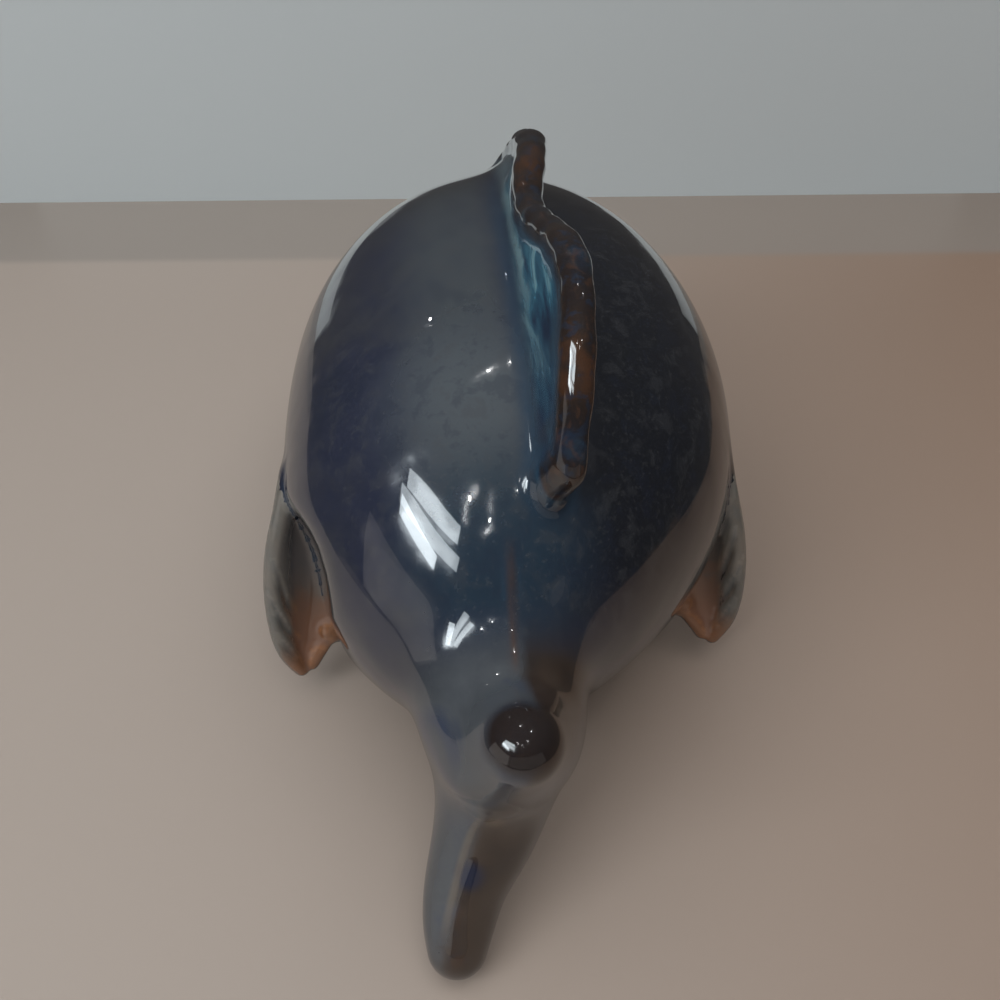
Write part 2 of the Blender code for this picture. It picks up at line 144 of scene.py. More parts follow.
# Tail
TAIL_LENGTH = 0.0450
TAIL_FLOOD = 0.0150
LOBE_FLOOD = 0.0320
LOBE_POINTS = 111
LOBE_END_DRAW = 0.25
RIDGE_POINTS = slice(33, 107, 6)
RIDGE_AXIS_POINT = 37
RIDGE_TURN = math.radians(18)
RIDGE_RADIUS = 0.0022
RIDGE_HEIGHT = 0.0004
RIDGE_FLOOD = 0.0050
RIDGE_PLACE = (0.0182, 0.0396)
RIDGE_SLANT = 0.355

# Tail lobes: places and half widths along their middles, in tail lengths
UPPER_LOBE_SHARES = (
    (-0.018, 0.200, 0.000, 0.278, 0.300),
    (-0.051, 0.400, 0.036, 0.240, 0.278),
    (-0.062, 0.533, 0.169, 0.200, 0.240),
    (-0.062, 0.622, 0.289, 0.173, 0.189),
)
LOWER_LOBE_SHARES = (
    (-0.029, 0.156, -0.133, 0.278, 0.267),
    (0.038, 0.333, -0.467, 0.284, 0.278),
    (0.116, 0.489, -0.689, 0.262, 0.256),
    (0.218, 0.644, -0.871, 0.227, 0.204),
    (0.276, 0.800, -1.027, 0.196, 0.167),
    (0.293, 0.900, -1.093, 0.164, 0.138),
)

# Patches on the tail, which are the bump's dark brown end, painted darker as a reflection of the dark room,
# a pale lozenge, and a dark blue patch that is a painted reflection of the dark room: place, inner and outer
# radius, and colour
TAIL_PATCHES = (
    ((0.0085, 0.1300, 0.0745), 0.0050, 0.0095, (14, 9, 8)),
    ((0.0136, 0.1270, 0.0430), 0.0015, 0.0040, (110, 72, 38)),
    ((0.0201, 0.1340, 0.0288), 0.0016, 0.0050, (8, 12, 32)),
)

# Pectoral fins: places on the left fin's outer and inner edges, from its top to its tip
PECTORAL_OUTER_EDGE = (
    (0.0575, 0.0430, 0.0670),
    (0.0608, 0.0490, 0.0600),
    (0.0636, 0.0525, 0.0510),
    (0.0652, 0.0550, 0.0420),
    (0.0660, 0.0570, 0.0320),
    (0.0656, 0.0585, 0.0200),
    (0.0632, 0.0590, 0.0087),
)
PECTORAL_INNER_EDGE = (
    (0.0540, 0.0400, 0.0680),
    (0.0500, 0.0430, 0.0640),
    (0.0470, 0.0455, 0.0560),
    (0.0455, 0.0480, 0.0460),
    (0.0465, 0.0505, 0.0350),
    (0.0515, 0.0535, 0.0230),
    (0.0580, 0.0570, 0.0105),
)
PECTORAL_THICKNESS = 0.0052
PECTORAL_END_SHARE = 0.80
PECTORAL_CUP_DEPTH = 0.0045
PECTORAL_CUP_SPAN = (0.1, 0.9)
PECTORAL_TIP_START = 0.84
PECTORAL_TIP_CUT = 0.70
PECTORAL_ROWS = 60
PECTORAL_STEPS = 20
PECTORAL_MIDDLE = 0.0038
PECTORAL_FLOOD = 0.0012
PECTORAL_FRONT_FLOOD = 0.0068
PECTORAL_FRONT = (-0.0030, 0.0030)
PALM_DEPTH = 0.0010
PALM_SIDE = (0.10, 0.22)
PALM_END = (0.96, 0.86)
PALM_FACE = (0.0, -0.0015)
NUB = ((0.0535, 0.0548, 0.0205), (0.0500, 0.0548, 0.0165))
NUB_RADII = (0.0018, 0.0010)
NUB_FLOOD = 0.0040

# Three shallow grooves press the fin's edge into fingers
FINGER_GROOVES = (
    ((0.0640, 0.0551, 0.0504), (0.0632, 0.0566, 0.0432), (0.0627, 0.0556, 0.0344), (0.0622, 0.0551, 0.0288)),
    ((0.0668, 0.0575, 0.0411), (0.0653, 0.0591, 0.0348), (0.0638, 0.0587, 0.0275), (0.0624, 0.0563, 0.0193)),
    ((0.0661, 0.0600, 0.0278), (0.0652, 0.0605, 0.0232), (0.0639, 0.0603, 0.0193), (0.0625, 0.0595, 0.0158)),
)
FINGER_GROOVE_RADII = (0.0002, 0.0007, 0.0009, 0.0003)
FINGER_GROOVE_ROUNDING = 0.0016

# Hollow pressed flat into the left flank behind the fin: its lip on the body's skin, the way of the press,
# and how far out and back on the body it starts
HOLLOW_LIP = (
    (0.0640, 0.0400, 0.0640),
    (0.0583, 0.0518, 0.0680),
    (0.0533, 0.0647, 0.0743),
    (0.0510, 0.0698, 0.0746),
    (0.0492, 0.0740, 0.0732),
    (0.0478, 0.0789, 0.0692),
    (0.0475, 0.0817, 0.0637),
    (0.0480, 0.0818, 0.0568),
    (0.0460, 0.0840, 0.0500),
    (0.0440, 0.0860, 0.0300),
)
PRESS_DIRECTION = (-0.14, 0.66, 0.73)
HOLLOW_ROUNDING = 0.0030
HOLLOW_START = (0.035, 0.0)

# Eyes and lips
EYE_STATION = -0.058
EYE_ELEVATION = math.radians(13)
EYE_RADIUS = 0.0080
EYE_SINK = 0.0030
EYE_FLOOD = 0.0012
EYE_RING_THICKNESS = 0.0036
EYE_RING_POINTS = 96
EYE_RING_LUMPS = (0.05, 3)
LIP_THICKNESS = 0.0070
LIP_CORNER_SHARE = 0.40
LIP_POINTS = 61
LIP_END_START = 0.85
LIP_END_SQUARE = 0.02
MOUTH_WIDTH = 0.0240
MOUTH_OPENING = 0.0030
MOUTH_LEVEL = 0.0500
LUTING_GAP = 0.0003
COIL_SIDES = 28
COIL_ATTRIBUTES = {"own": 1.0, "thin": 0.25, "pool": 0.0, "seam": 0.0}

# Camera: its place, the directions of its right, top and back, and its focal length in picture widths
CAMERA_PLACE = (0.0224, 0.2457, 0.2507)
CAMERA_AXES = ((-0.99554, 0.09404, -0.00716), (-0.07045, -0.69111, 0.71930), (0.06269, 0.71660, 0.69466))
FOCAL_LENGTH = 1.072
SENSOR_WIDTH = 36.0

# Table and wall: the line where they meet, the part of each that the glaze mirrors, and how far they go on
WALL_FOOT = ((0.2172, -0.2394, 0.0), (-0.2564, -0.1980, 0.0))
MIRRORED = {"table_top": (-0.25, 0.31, 0.0, 0.60), "wall": (-0.22, 0.22, 0.0, 0.045)}
SHEET_END = 3.0
WALL_COLOUR = (600, 640, 650)

# Screens: both ends on the table, height and glow
SCREENS = (
    ("side_screen", (0.42, 0.10), (0.25, 0.42), 0.20, 420),
    ("front_screen", (0.24, 0.44), (-0.34, 0.40), 0.20, 130),
)

# Window panes: middle, direction and length of the long side, and width
PANES = (
    ((0.69, 0.57, 0.96), (-0.47, 0.46, 0.09), 0.12),
    ((0.76, 0.65, 0.85), (-0.54, 0.58, 0.05), 0.12),
    ((0.88, 0.58, 0.75), (-0.25, 0.40, 0.00), 0.12),
)
PANE_WATTS = 1.6
PANE_COLOUR = (860, 950, 1000)

# Small lamps, the lamp overhead, and the room's colour below and above
SPOTS = (
    (0.08, 1.12, 1.50),
    (0.85, -1.48, 1.50),
    (0.10, -0.25, 1.60),
    (0.42, 0.92, 1.55),
    (-0.35, 0.86, 1.50),
    (-0.62, 0.18, 1.60),
)
SPOT_SIZE = 0.03
SPOT_WATTS = 0.25
LAMP_TARGET = (0.0, 0.0, 0.08)
OVERHEAD_PLACE = (0.16, 0.28, 1.30)
OVERHEAD_SIZE = 1.8
OVERHEAD_WATTS = 20.0
ROOM_COLOURS = ((45, 43, 42), (90, 92, 95))

# Skin: spacing of its points, how far its grid goes past the figurine, how often it is evened out, how deep
# the caps of its pieces lie, how far the forms reach, and how its slope and its bend are measured
SKIN_GRAIN = 0.0011
SKIN_MARGIN = 4 * SKIN_GRAIN
SKIN_ROUNDS = 2
CAP_DEPTH = 0.0015
FAR = 0.05
REACH = 0.016
SLOPE_STEP = 0.0005
BEND_STEP = 0.0012
GENTLEST_SLOPE = 0.25

# Glaze: distances from the body over which a limb takes its own colour, the bends at which the glaze runs
# thin or pools, and the height of its ripples
OWN_SPAN = (0.0007, 0.0045)
OWN_SPAN_PAST_JOINT = (0.0, 0.0120)
OWN_SPAN_ON_FLAP = (-0.0015, 0.0008)
FLAP_REACH = 0.0015
THIN_BENDS = (110.0, 320.0)
POOL_BENDS = (20.0, 260.0)
RIPPLE_HEIGHT = 0.0013

# Middles of the pale patch on the back beside the dorsal fin, a painted highlight, and of the petrol blue
# one nearer the tail
PAINTED_SHEEN_PLACE = (0.009, 0.041, 0.107)
PETROL_PLACE = (0.006, 0.068, 0.088)


def spline(points, count):
    """Points on one smooth curve through the given ones, spaced evenly along it."""
    knots = np.array(points, float)
    lengths = np.linalg.norm(np.diff(knots, axis=0), axis=1)
    size = len(knots)
    bends = np.zeros((size, size))
    pull = np.zeros_like(knots)
    bends[0, 0] = bends[-1, -1] = 1.0
    for i in range(1, size - 1):
        before, after = lengths[i - 1], lengths[i]
        bends[i, i - 1 : i + 2] = (before, 2 * (before + after), after)
        pull[i] = 6 * ((knots[i + 1] - knots[i]) / after - (knots[i] - knots[i - 1]) / before)
    curve = np.linalg.solve(bends, pull)
    at = np.concatenate([[0.0], np.cumsum(lengths)])
    place = np.linspace(0.0, at[-1], count)
    i = np.clip(np.searchsorted(at, place, side="right") - 1, 0, size - 2)
    span = lengths[i][:, None]
    b = (place - at[i])[:, None] / span
    a = 1.0 - b
    straight = a * knots[i] + b * knots[i + 1]
    return straight + ((a**3 - a) * curve[i] + (b**3 - b) * curve[i + 1]) * span**2 / 6


def unit(vector):
    """Vector of length one with the same direction."""
    return vector / np.linalg.norm(vector)


def body_profile():
    """Stations and section shares of the body's side, from the nose to behind the tail joint."""
    knots = []
    for along, share in BODY_OUTLINE_SHARES:
        knots.append((along * (HEAD_LENGTH if along < 0 else REAR_LENGTH), share * BODY_HALF_WIDTH))
    under_nose = (knots[1][0], -knots[1][1])
    whole = spline([under_nose] + knots, PROFILE_POINTS)
    nose = int(np.argmin(whole[: PROFILE_POINTS // 2, 0]))
    return whole[nose:, 0], np.maximum(0.0, whole[nose:, 1] / BODY_HALF_WIDTH)


STATIONS, SHARES = body_profile()
SQUARES = (SHARES * BODY_HALF_WIDTH) ** 2
SLOPES = np.gradient(SQUARES, STATIONS)
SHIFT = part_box("body_shell")[0] - Vector((-BODY_HALF_WIDTH, STATIONS[0], 0.0))
SHIFT = np.array((SHIFT.x, SHIFT.y, 0.0))


def smoothstep(low, high, value):
    """Rises smoothly from 0 to 1 as the value goes from low to high."""
    share = np.clip((value - low) / (high - low), 0.0, 1.0)
    return share * share * (3.0 - 2.0 * share)


def melt(first, second, width):
    """Joins two forms, with their joint flooded over a width."""
    close = np.maximum(width - np.abs(first - second), 0.0) / width
    return np.minimum(first, second) - close**3 * width / 6.0


def carve(form, tool, width):
    """Takes one form out of another, with a softened edge."""
    return -melt(-form, tool, width)


def swing(stations):
    """Sideways shift of the body's middle: the rear swings to the fish's left."""
    return TAIL_SWING * np.maximum(0.0, stations / REAR_LENGTH) ** 2


def to_stretch(points, start, end):
    """The way to each point from the nearest place on a stretch, and how far along that place is."""
    run = end - start
    share = np.clip((points - start) @ run / (run @ run), 0.0, 1.0)
    return points - start - share[:, None] * run, share


def along_path(points, path):
    """For each point, its distance from a path of straight stretches, and how far along the path it is."""
    best = np.full(len(points), np.inf)
    place = np.zeros(len(points))
    for i, (start, end) in enumerate(zip(path, path[1:])):
        away, share = to_stretch(points, start, end)
        length = np.linalg.norm(away, axis=1)
        place = np.where(length < best, i + share, place)
        best = np.minimum(best, length)
    return best, place


def tube(points, path, radii):
    """Distance from a rounded coil of clay whose radius changes along its path."""
    best = np.full(len(points), np.inf)
    for start, end, first, last in zip(path, path[1:], radii, radii[1:]):
        away, share = to_stretch(points, start, end)
        best = np.minimum(best, np.linalg.norm(away, axis=1) - (first + (last - first) * share))
    return best


def egg(points):
    """Distance from the egg of the body, without its foot."""
    stations = points[:, 1]
    across = points[:, 0] - swing(stations)
    up = points[:, 2] - BODY_CENTRE_HEIGHT
    squares = np.interp(stations, STATIONS, SQUARES)
    slopes = np.interp(stations, STATIONS, SLOPES)
    squares += np.minimum(0.0, stations - STATIONS[0]) * SLOPES[1]
    squares += np.maximum(0.0, stations - STATIONS[-1]) * SLOPES[-1]
    radii = across**2 + up**2
    return (radii - squares) / (2.0 * np.sqrt(radii + (slopes / 2.0) ** 2 + 1e-6))


def seam_nearness(points):
    """How close points are to the mould seam, from 0 to 1."""
    stations = points[:, 1]
    aside = points[:, 0] - np.interp(stations, SEAM_STATIONS, SEAM_SIDESTEPS)
    ends = smoothstep(*SEAM_RISE, stations) * smoothstep(*SEAM_FADE, stations)
    return np.exp(-((aside / SEAM_WIDTH) ** 2)) * ends * smoothstep(*SEAM_FLOOR, points[:, 2])


def hollow(points):
    """Distance from what the press took off the left flank, seen along the way of the press."""
    press = unit(np.array(PRESS_DIRECTION))
    across = -unit(np.cross(press, (0.0, 0.0, 1.0)))
    view = np.stack([across, np.cross(press, across)], axis=1)
    flat = points @ view
    path = np.array(HOLLOW_LIP) @ view
    best = np.full(len(points), np.inf)
    side = np.zeros(len(points))
    for start, end in zip(path, path[1:]):
        away, _ = to_stretch(flat, start, end)
        run = end - start
        length = np.linalg.norm(away, axis=1)
        side = np.where(length < best, np.sign(run[0] * away[:, 1] - run[1] * away[:, 0]), side)
        best = np.minimum(best, length)
    return best * side


def body(points):
    """Distance from the body, with its pour hole, its mould seam and the hollow in its flank."""
    form = egg(points) - SEAM_HEIGHT * seam_nearness(points)
    near = (points[:, 0] > HOLLOW_START[0]) & (points[:, 1] > HOLLOW_START[1])
    if near.any():
        form[near] = carve(form[near], hollow(points[near]), HOLLOW_ROUNDING)
    aside = np.hypot(points[:, 0], points[:, 1] - POUR_HOLE_STATION)
    near = (aside < 2 * WELL_RADIUS) & (points[:, 2] < 3 * WELL_HEIGHT)
    if near.any():
        up = points[near, 2] - WELL_HEIGHT
        hole = np.maximum(aside[near] - POUR_HOLE_RADIUS, up)
        well = np.hypot(aside[near], up) - WELL_RADIUS
        form[near] = carve(form[near], melt(hole, well, WELL_FLOOD), WELL_EDGE_ROUNDING)
    return form


def dorsal_place(points):
    """Station, height and sideways distance of points, as the leaning dorsal fin measures them."""
    stations = points[:, 1].copy()
    for _ in range(DORSAL_PLACE_TRIES):
        aside = DORSAL_SIDESTEP - DORSAL_FRONT_DRIFT * np.maximum(0.0, -stations)
        squares = np.interp(stations, STATIONS, SQUARES)
        top = BODY_CENTRE_HEIGHT + np.sqrt(np.maximum(1e-8, squares - (aside - swing(stations)) ** 2))
        across = points[:, 0] - aside
        up = points[:, 2] - top
        height = up * math.cos(DORSAL_LEAN) - across * math.sin(DORSAL_LEAN)
        stations = points[:, 1] - DORSAL_RAKE * height
    return np.stack([stations, height, across * math.cos(DORSAL_LEAN) + up * math.sin(DORSAL_LEAN)], axis=1)


def dorsal_edge():
    """Middle of the dorsal fin's rim, as stations and heights, running into the back at both ends."""
    shares = [(along * REAR_LENGTH, share * DORSAL_HEIGHT) for along, share in DORSAL_EDGE_SHARES]
    edge = spline(shares, RIM_POINTS)
    edge[:, 1] -= DORSAL_RIM_RADIUS
    front = edge[0] - RIM_FRONT_RUN * unit(edge[2] - edge[0])
    return np.vstack([front, edge, edge[-1] + RIM_REAR_STEP, edge[-1] + (0.0, -DORSAL_HEIGHT)])


DORSAL_EDGE = dorsal_edge()
DORSAL_PATH = np.column_stack([DORSAL_EDGE, np.zeros(len(DORSAL_EDGE))])


def dorsal(points):
    """Distance from the dorsal fin: a thin web with a thick rim."""
    places = dorsal_place(points)
    station, height, aside = places.T
    away, along = along_path(places, DORSAL_PATH)
    size, middle, spread = RIM_SWELLING
    lumps = 1.0 + size * np.exp(-(((along - middle) / spread) ** 2))
    for size, turns, start in RIM_LUMPS:
        lumps += size * np.sin(along * turns + start)
    slim = RIM_FRONT_SHARE + (1.0 - RIM_FRONT_SHARE) * smoothstep(*RIM_FRONT_SPAN, along)
    rim = away - DORSAL_RIM_RADIUS * lumps * slim
    above = np.maximum(0.0, height - np.interp(station, *DORSAL_EDGE[:-2].T))
    behind = np.maximum(0.0, station - DORSAL_EDGE[-1, 0]) + np.maximum(0.0, DORSAL_EDGE[0, 0] - station)
    web = np.sqrt(above**2 + behind**2 + aside**2) - DORSAL_WEB_THICKNESS / 2
    flood = DORSAL_FLOOD + DORSAL_FRONT_FLOOD * smoothstep(*DORSAL_FRONT, station)
    return melt(rim, web, DORSAL_WEB_FLOOD), flood


def dorsal_rimness(places):
    """How much points of the dorsal fin belong to its rim, from 0 to 1."""
    return smoothstep(*RIM_COLOUR_EDGE, along_path(places, DORSAL_PATH[:-1])[0])


TAIL_ORIGIN = np.array((float(swing(np.array(TAIL_JOINT_STATION))), TAIL_JOINT_STATION, BODY_CENTRE_HEIGHT))


def lobe(shares):
    """Path and radii of one lobe of the tail."""
    shaped = spline(np.array(shares) * TAIL_LENGTH, LOBE_POINTS)
    path = TAIL_ORIGIN + shaped[:, :3]
    radii = (shaped[:, 3] + shaped[:, 4]) / 2
    path[-1] -= LOBE_END_DRAW * radii[-1] * unit(path[-1] - path[-2])
    return path, radii


UPPER_LOBE = lobe(UPPER_LOBE_SHARES)
LOWER_LOBE = lobe(LOWER_LOBE_SHARES)


def tail_ridge():
    """Path of the soft ridge down the back of the lower lobe, left of its middle."""
    path, radii = LOWER_LOBE
    axis = unit(path[-1] - path[RIDGE_AXIS_POINT])
    side = unit(np.cross((0.0, 1.0, 0.0), axis))
    side *= np.sign(side[0])
    back = np.cross(axis, side)
    back *= np.sign(back[1])
    out = math.sin(RIDGE_TURN) * side + math.cos(RIDGE_TURN) * back
    return (path + out * (radii - RIDGE_RADIUS + RIDGE_HEIGHT)[:, None])[RIDGE_POINTS]


TAIL_RIDGE = tail_ridge()


def tail(points):
    """Distance from the tail: two lobes and a soft ridge."""
    lobes = melt(tube(points, *UPPER_LOBE), tube(points, *LOWER_LOBE), LOBE_FLOOD)
    ridge = tube(points, TAIL_RIDGE, np.full(len(TAIL_RIDGE), RIDGE_RADIUS))
    return melt(lobes, ridge, RIDGE_FLOOD), TAIL_FLOOD


def pectoral_sheet():
    """Middle surface of the left pectoral fin, as rows of points from its outer edge to its inner edge."""
    outer = spline(PECTORAL_OUTER_EDGE, PECTORAL_ROWS)
    inner = spline(PECTORAL_INNER_EDGE, PECTORAL_ROWS)
    rows = []
    thicks = []
    for k in range(PECTORAL_ROWS):
        down = k / (PECTORAL_ROWS - 1)
        tip = max(0.0, down - PECTORAL_TIP_START) / (1.0 - PECTORAL_TIP_START)
        chord = (inner[k] - outer[k]) * math.sqrt(1.0 - PECTORAL_TIP_CUT * tip**2)
        start = (inner[k] + outer[k]) / 2 - chord / 2
        ahead = outer[min(k + 1, PECTORAL_ROWS - 1)] - outer[max(k - 1, 0)]
        first, last = PECTORAL_CUP_SPAN
        cup = PECTORAL_CUP_DEPTH * math.sin(math.pi * (first + (last - first) * down))
        v = np.linspace(0.0, 1.0, PECTORAL_STEPS + 1)[:, None]
        rows.append(start + chord * v + unit(np.cross(chord, ahead)) * cup * 4 * v * (1 - v))
        share = PECTORAL_END_SHARE + (1.0 - PECTORAL_END_SHARE) * math.sin(math.pi * down)
        thicks.append(PECTORAL_THICKNESS / 2 * share)
    return np.array(rows), np.array(thicks)


PECTORAL_SHEET, PECTORAL_THICKS = pectoral_sheet()


def sheet_tree():
    """Search tree of the left pectoral fin's middle surface."""
    steps = PECTORAL_STEPS + 1
    faces = []
    for k in range(PECTORAL_ROWS - 1):
        for i in range(PECTORAL_STEPS):
            low = k * steps + i
            faces.append((low, low + 1, low + steps + 1))
            faces.append((low, low + steps + 1, low + steps))
    return BVHTree.FromPolygons([tuple(p) for p in PECTORAL_SHEET.reshape(-1, 3)], faces)


PECTORAL_TREE = sheet_tree()


def pectoral_place(points):
    """Distance from the left pectoral fin's middle surface, and the place across, down and out of it."""
    spots = np.zeros((len(points), 3))
    normals = np.zeros((len(points), 3))
    faces = np.zeros(len(points), int)
    for i, point in enumerate(points.tolist()):
        spots[i], normals[i], faces[i], _ = PECTORAL_TREE.find_nearest(point)
    row, step = faces // (2 * PECTORAL_STEPS), faces % (2 * PECTORAL_STEPS) // 2
    corner = PECTORAL_SHEET[row, step]
    sideways = PECTORAL_SHEET[row, step + 1] - corner
    onward = PECTORAL_SHEET[row + 1, step] - corner
    across = (step + ((spots - corner) * sideways).sum(axis=1) / (sideways**2).sum(axis=1)) / PECTORAL_STEPS
    down = (row + ((spots - corner) * onward).sum(axis=1) / (onward**2).sum(axis=1)) / (PECTORAL_ROWS - 1)
    away = points - spots
    out = (away * normals).sum(axis=1)
    return np.stack([np.linalg.norm(away, axis=1), across, down, out], axis=1)


def left_pectoral(points):
    """Distance from the left pectoral fin: a cupped flap with fingers, a hollow palm and a small nub."""
    away, across, down, out = pectoral_place(points).T
    half = np.interp(down, np.linspace(0, 1, PECTORAL_ROWS), PECTORAL_THICKS)
    palm = smoothstep(*PALM_SIDE, across) * smoothstep(*PALM_FACE, out) * smoothstep(*PALM_END, down)
    form = away - half + PALM_DEPTH * palm
    form = melt(form, tube(points, np.array(NUB), NUB_RADII), NUB_FLOOD)
    for groove in FINGER_GROOVES:
        form = carve(form, tube(points, np.array(groove), FINGER_GROOVE_RADII), FINGER_GROOVE_ROUNDING)
    return form, PECTORAL_FLOOD + PECTORAL_FRONT_FLOOD * smoothstep(*PECTORAL_FRONT, out)


def mirrored(points):
    """Points as the right pectoral fin's twin on the left has them."""
    return points * (-1.0, 1.0, 1.0) + (2 * PECTORAL_MIDDLE, 0.0, 0.0)


def right_pectoral(points):
    """Distance from the right pectoral fin, the mirror image of the left one."""
    return left_pectoral(mirrored(points))


def eye_place(side):
    """Middle of an eyeball and the direction it looks in."""
    angle = EYE_ELEVATION if side > 0 else math.pi - EYE_ELEVATION
    radius = BODY_HALF_WIDTH * float(np.interp(EYE_STATION, STATIONS, SHARES))
    outward = np.array((math.cos(angle), 0.0, math.sin(angle)))
    slope = float(np.interp(EYE_STATION, STATIONS, SLOPES)) / (2 * radius)
    normal = unit(outward - np.array((0.0, slope, 0.0)))
    spot = np.array((0.0, EYE_STATION, BODY_CENTRE_HEIGHT)) + outward * radius
    return spot - normal * EYE_SINK, normal


EYES = {"left_eye": eye_place(1.0), "right_eye": eye_place(-1.0)}


def eyeball(name):
    """Form of an eyeball: a function that gives the distance from it."""
    middle = EYES[name][0]

    def form(points):
        return np.linalg.norm(points - middle, axis=1) - EYE_RADIUS, EYE_FLOOD

    return form


LIMBS = {
    "dorsal_fin": dorsal,
    "tail_fin": tail,
    "left_pectoral_fin": left_pectoral,
    "right_pectoral_fin": right_pectoral,
    "left_eye": eyeball("left_eye"),
    "right_eye": eyeball("right_eye"),
}
LIMB_NUMBERS = {name: number for number, name in enumerate(LIMBS, 1)}


def limb_boxes():
    """Where each limb can be met: lowest and highest corners."""
    boxes = {}
    for name in LIMBS:
        low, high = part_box(name)
        boxes[name] = (np.array(low) - SHIFT - REACH, np.array(high) - SHIFT + REACH)
    fin = PECTORAL_SHEET.reshape(-1, 3)
    boxes["left_pectoral_fin"] = (fin.min(axis=0) - REACH, fin.max(axis=0) + REACH)
    fin = mirrored(fin)
    boxes["right_pectoral_fin"] = (fin.min(axis=0) - REACH, fin.max(axis=0) + REACH)
    return boxes


BOXES = limb_boxes()


def forms(points):
    """Distance of points from the body and from each limb, and how widely each joint is flooded."""
    distances = [body(points)]
    floods = []
    for name, form in LIMBS.items():
        low, high = BOXES[name]
        near = np.all((points > low) & (points < high), axis=1)
        away = np.full(len(points), FAR)
        flood = np.full(len(points), REACH)
        if near.any():
            away[near], flood[near] = form(points[near])
        distances.append(away)
        floods.append(flood)
    return np.array(distances), floods


def skin(points):
    """Distance from the whole figurine, with its joints flooded."""
    distances, floods = forms(points)
    whole = distances[0]
    for away, flood in zip(distances[1:], floods):
        whole = melt(whole, away, flood)
    return carve(whole, points[:, 2], FOOT_EDGE_ROUNDING)


def measure(points, step=SLOPE_STEP):
    """Distance of points from the skin, and how it grows in each direction."""
    total = np.zeros(len(points))
    slopes = np.zeros_like(points)
    for corner in ((1, 1, 1), (1, -1, -1), (-1, 1, -1), (-1, -1, 1)):
        corner = np.array(corner, float)
        value = skin(points + corner * step)
        total += value
        slopes += value[:, None] * corner
    return total / 4, slopes / (4 * step)


def settle(points):
    """Moves points that are close to the skin onto it."""
    value, slopes = measure(points)
    steep = np.maximum(GENTLEST_SLOPE, (slopes**2).sum(axis=1))
    step = (value / steep)[:, None] * slopes
    length = np.maximum(1e-9, np.linalg.norm(step, axis=1))[:, None]
    return points - step * np.minimum(1.0, SKIN_GRAIN / length)


def net(values, low):
    """Four-sided faces between the inside and the outside of a grid of distances."""
    inside = values < 0
    shape = np.array(values.shape) - 1
    corners = [(i, j, k) for i in (0, 1) for j in (0, 1) for k in (0, 1)]
    count = np.zeros(shape, np.int8)
    for i, j, k in corners:
        count += inside[i : i + shape[0], j : j + shape[1], k : k + shape[2]]
    cells = np.argwhere((count > 0) & (count < 8))
    number = np.full(shape, -1)
    number[tuple(cells.T)] = np.arange(len(cells))
    total = np.zeros((len(cells), 3))
    crossings = np.zeros(len(cells))
    for corner in corners:
        for axis in range(3):
            if corner[axis]:
                continue
            start = cells + corner
            end = start.copy()
            end[:, axis] += 1
            first = values[tuple(start.T)]
            last = values[tuple(end.T)]
            crossed = (first < 0) != (last < 0)
            share = np.where(crossed, first / np.where(crossed, first - last, 1.0), 0.0)
            place = start.astype(float)
            place[:, axis] += share
            total += place * crossed[:, None]
            crossings += crossed
    points = low + total / crossings[:, None] * SKIN_GRAIN
    quads = []
    for axis in range(3):
        one = np.zeros(3, int)
        one[axis] = 1
        first = inside[: values.shape[0] - one[0], : values.shape[1] - one[1], : values.shape[2] - one[2]]
        last = inside[one[0] :, one[1] :, one[2] :]
        edges = np.argwhere(first != last)
        rising = first[tuple(edges.T)]
        side, other = np.eye(3, dtype=int)[[(axis + 1) % 3, (axis + 2) % 3]]
        ring = [number[tuple((edges - back).T)] for back in (0 * side, side, side + other, other)]
        ring = np.stack(ring, axis=1)
        quads.append(np.where(rising[:, None], ring, ring[:, ::-1]))
    return points, np.concatenate(quads)


def neighbours(points, quads):
    """Average of each point's neighbours across the net."""
    sides = np.concatenate([quads[:, [0, 1]], quads[:, [1, 2]], quads[:, [2, 3]], quads[:, [3, 0]]])
    ends = np.concatenate([sides, sides[:, ::-1]])
    degree = np.bincount(ends[:, 0], minlength=len(points))[:, None]
    total = np.stack([np.bincount(ends[:, 0], points[ends[:, 1], a], len(points)) for a in range(3)], axis=1)
    return total / degree


def softened(normals, quads):
    """Directions evened out among neighbours."""
    for _ in range(SKIN_ROUNDS):
        normals = normals + neighbours(normals, quads)
        normals /= np.linalg.norm(normals, axis=1)[:, None]
    return normals


def grow_skin():
    """Evenly spread points on the figurine's skin, with the four-sided faces between them."""
    low = np.array(cad_box[0]) - SHIFT - SKIN_MARGIN
    high = np.array(cad_box[1]) - SHIFT + SKIN_MARGIN
    axes = [np.arange(a, b, SKIN_GRAIN) for a, b in zip(low, high)]
    slabs = []
    for x in axes[0]:
        plane = np.stack(np.meshgrid([x], axes[1], axes[2], indexing="ij"), axis=-1).reshape(-1, 3)
        slabs.append(skin(plane).reshape(len(axes[1]), len(axes[2])))
    points, quads = net(np.array(slabs), low)
    for _ in range(SKIN_ROUNDS):
        points = settle(points)
        points = (points + neighbours(points, quads)) / 2
    for _ in range(SKIN_ROUNDS):
        points = settle(points)
    return points, quads


def grown_attributes(points):
    """What the glazes need to know at each point of the skin."""
    found, _ = forms(points)
    bend = (measure(points, BEND_STEP)[0] - skin(points)) * 2.0 / BEND_STEP**2
    own = smoothstep(*OWN_SPAN, found[0])
    own = np.maximum(own, smoothstep(*OWN_SPAN_PAST_JOINT, points[:, 1] - TAIL_JOINT_STATION))
    flaps = [found[LIMB_NUMBERS[name]] < FLAP_REACH for name in ("left_pectoral_fin", "right_pectoral_fin")]
    own = np.where(flaps[0] | flaps[1], np.maximum(own, smoothstep(*OWN_SPAN_ON_FLAP, found[0])), own)
    return {
        "own": own,
        "thin": smoothstep(*THIN_BENDS, bend),
        "pool": smoothstep(*POOL_BENDS, -bend),
        "seam": seam_nearness(points),
    }


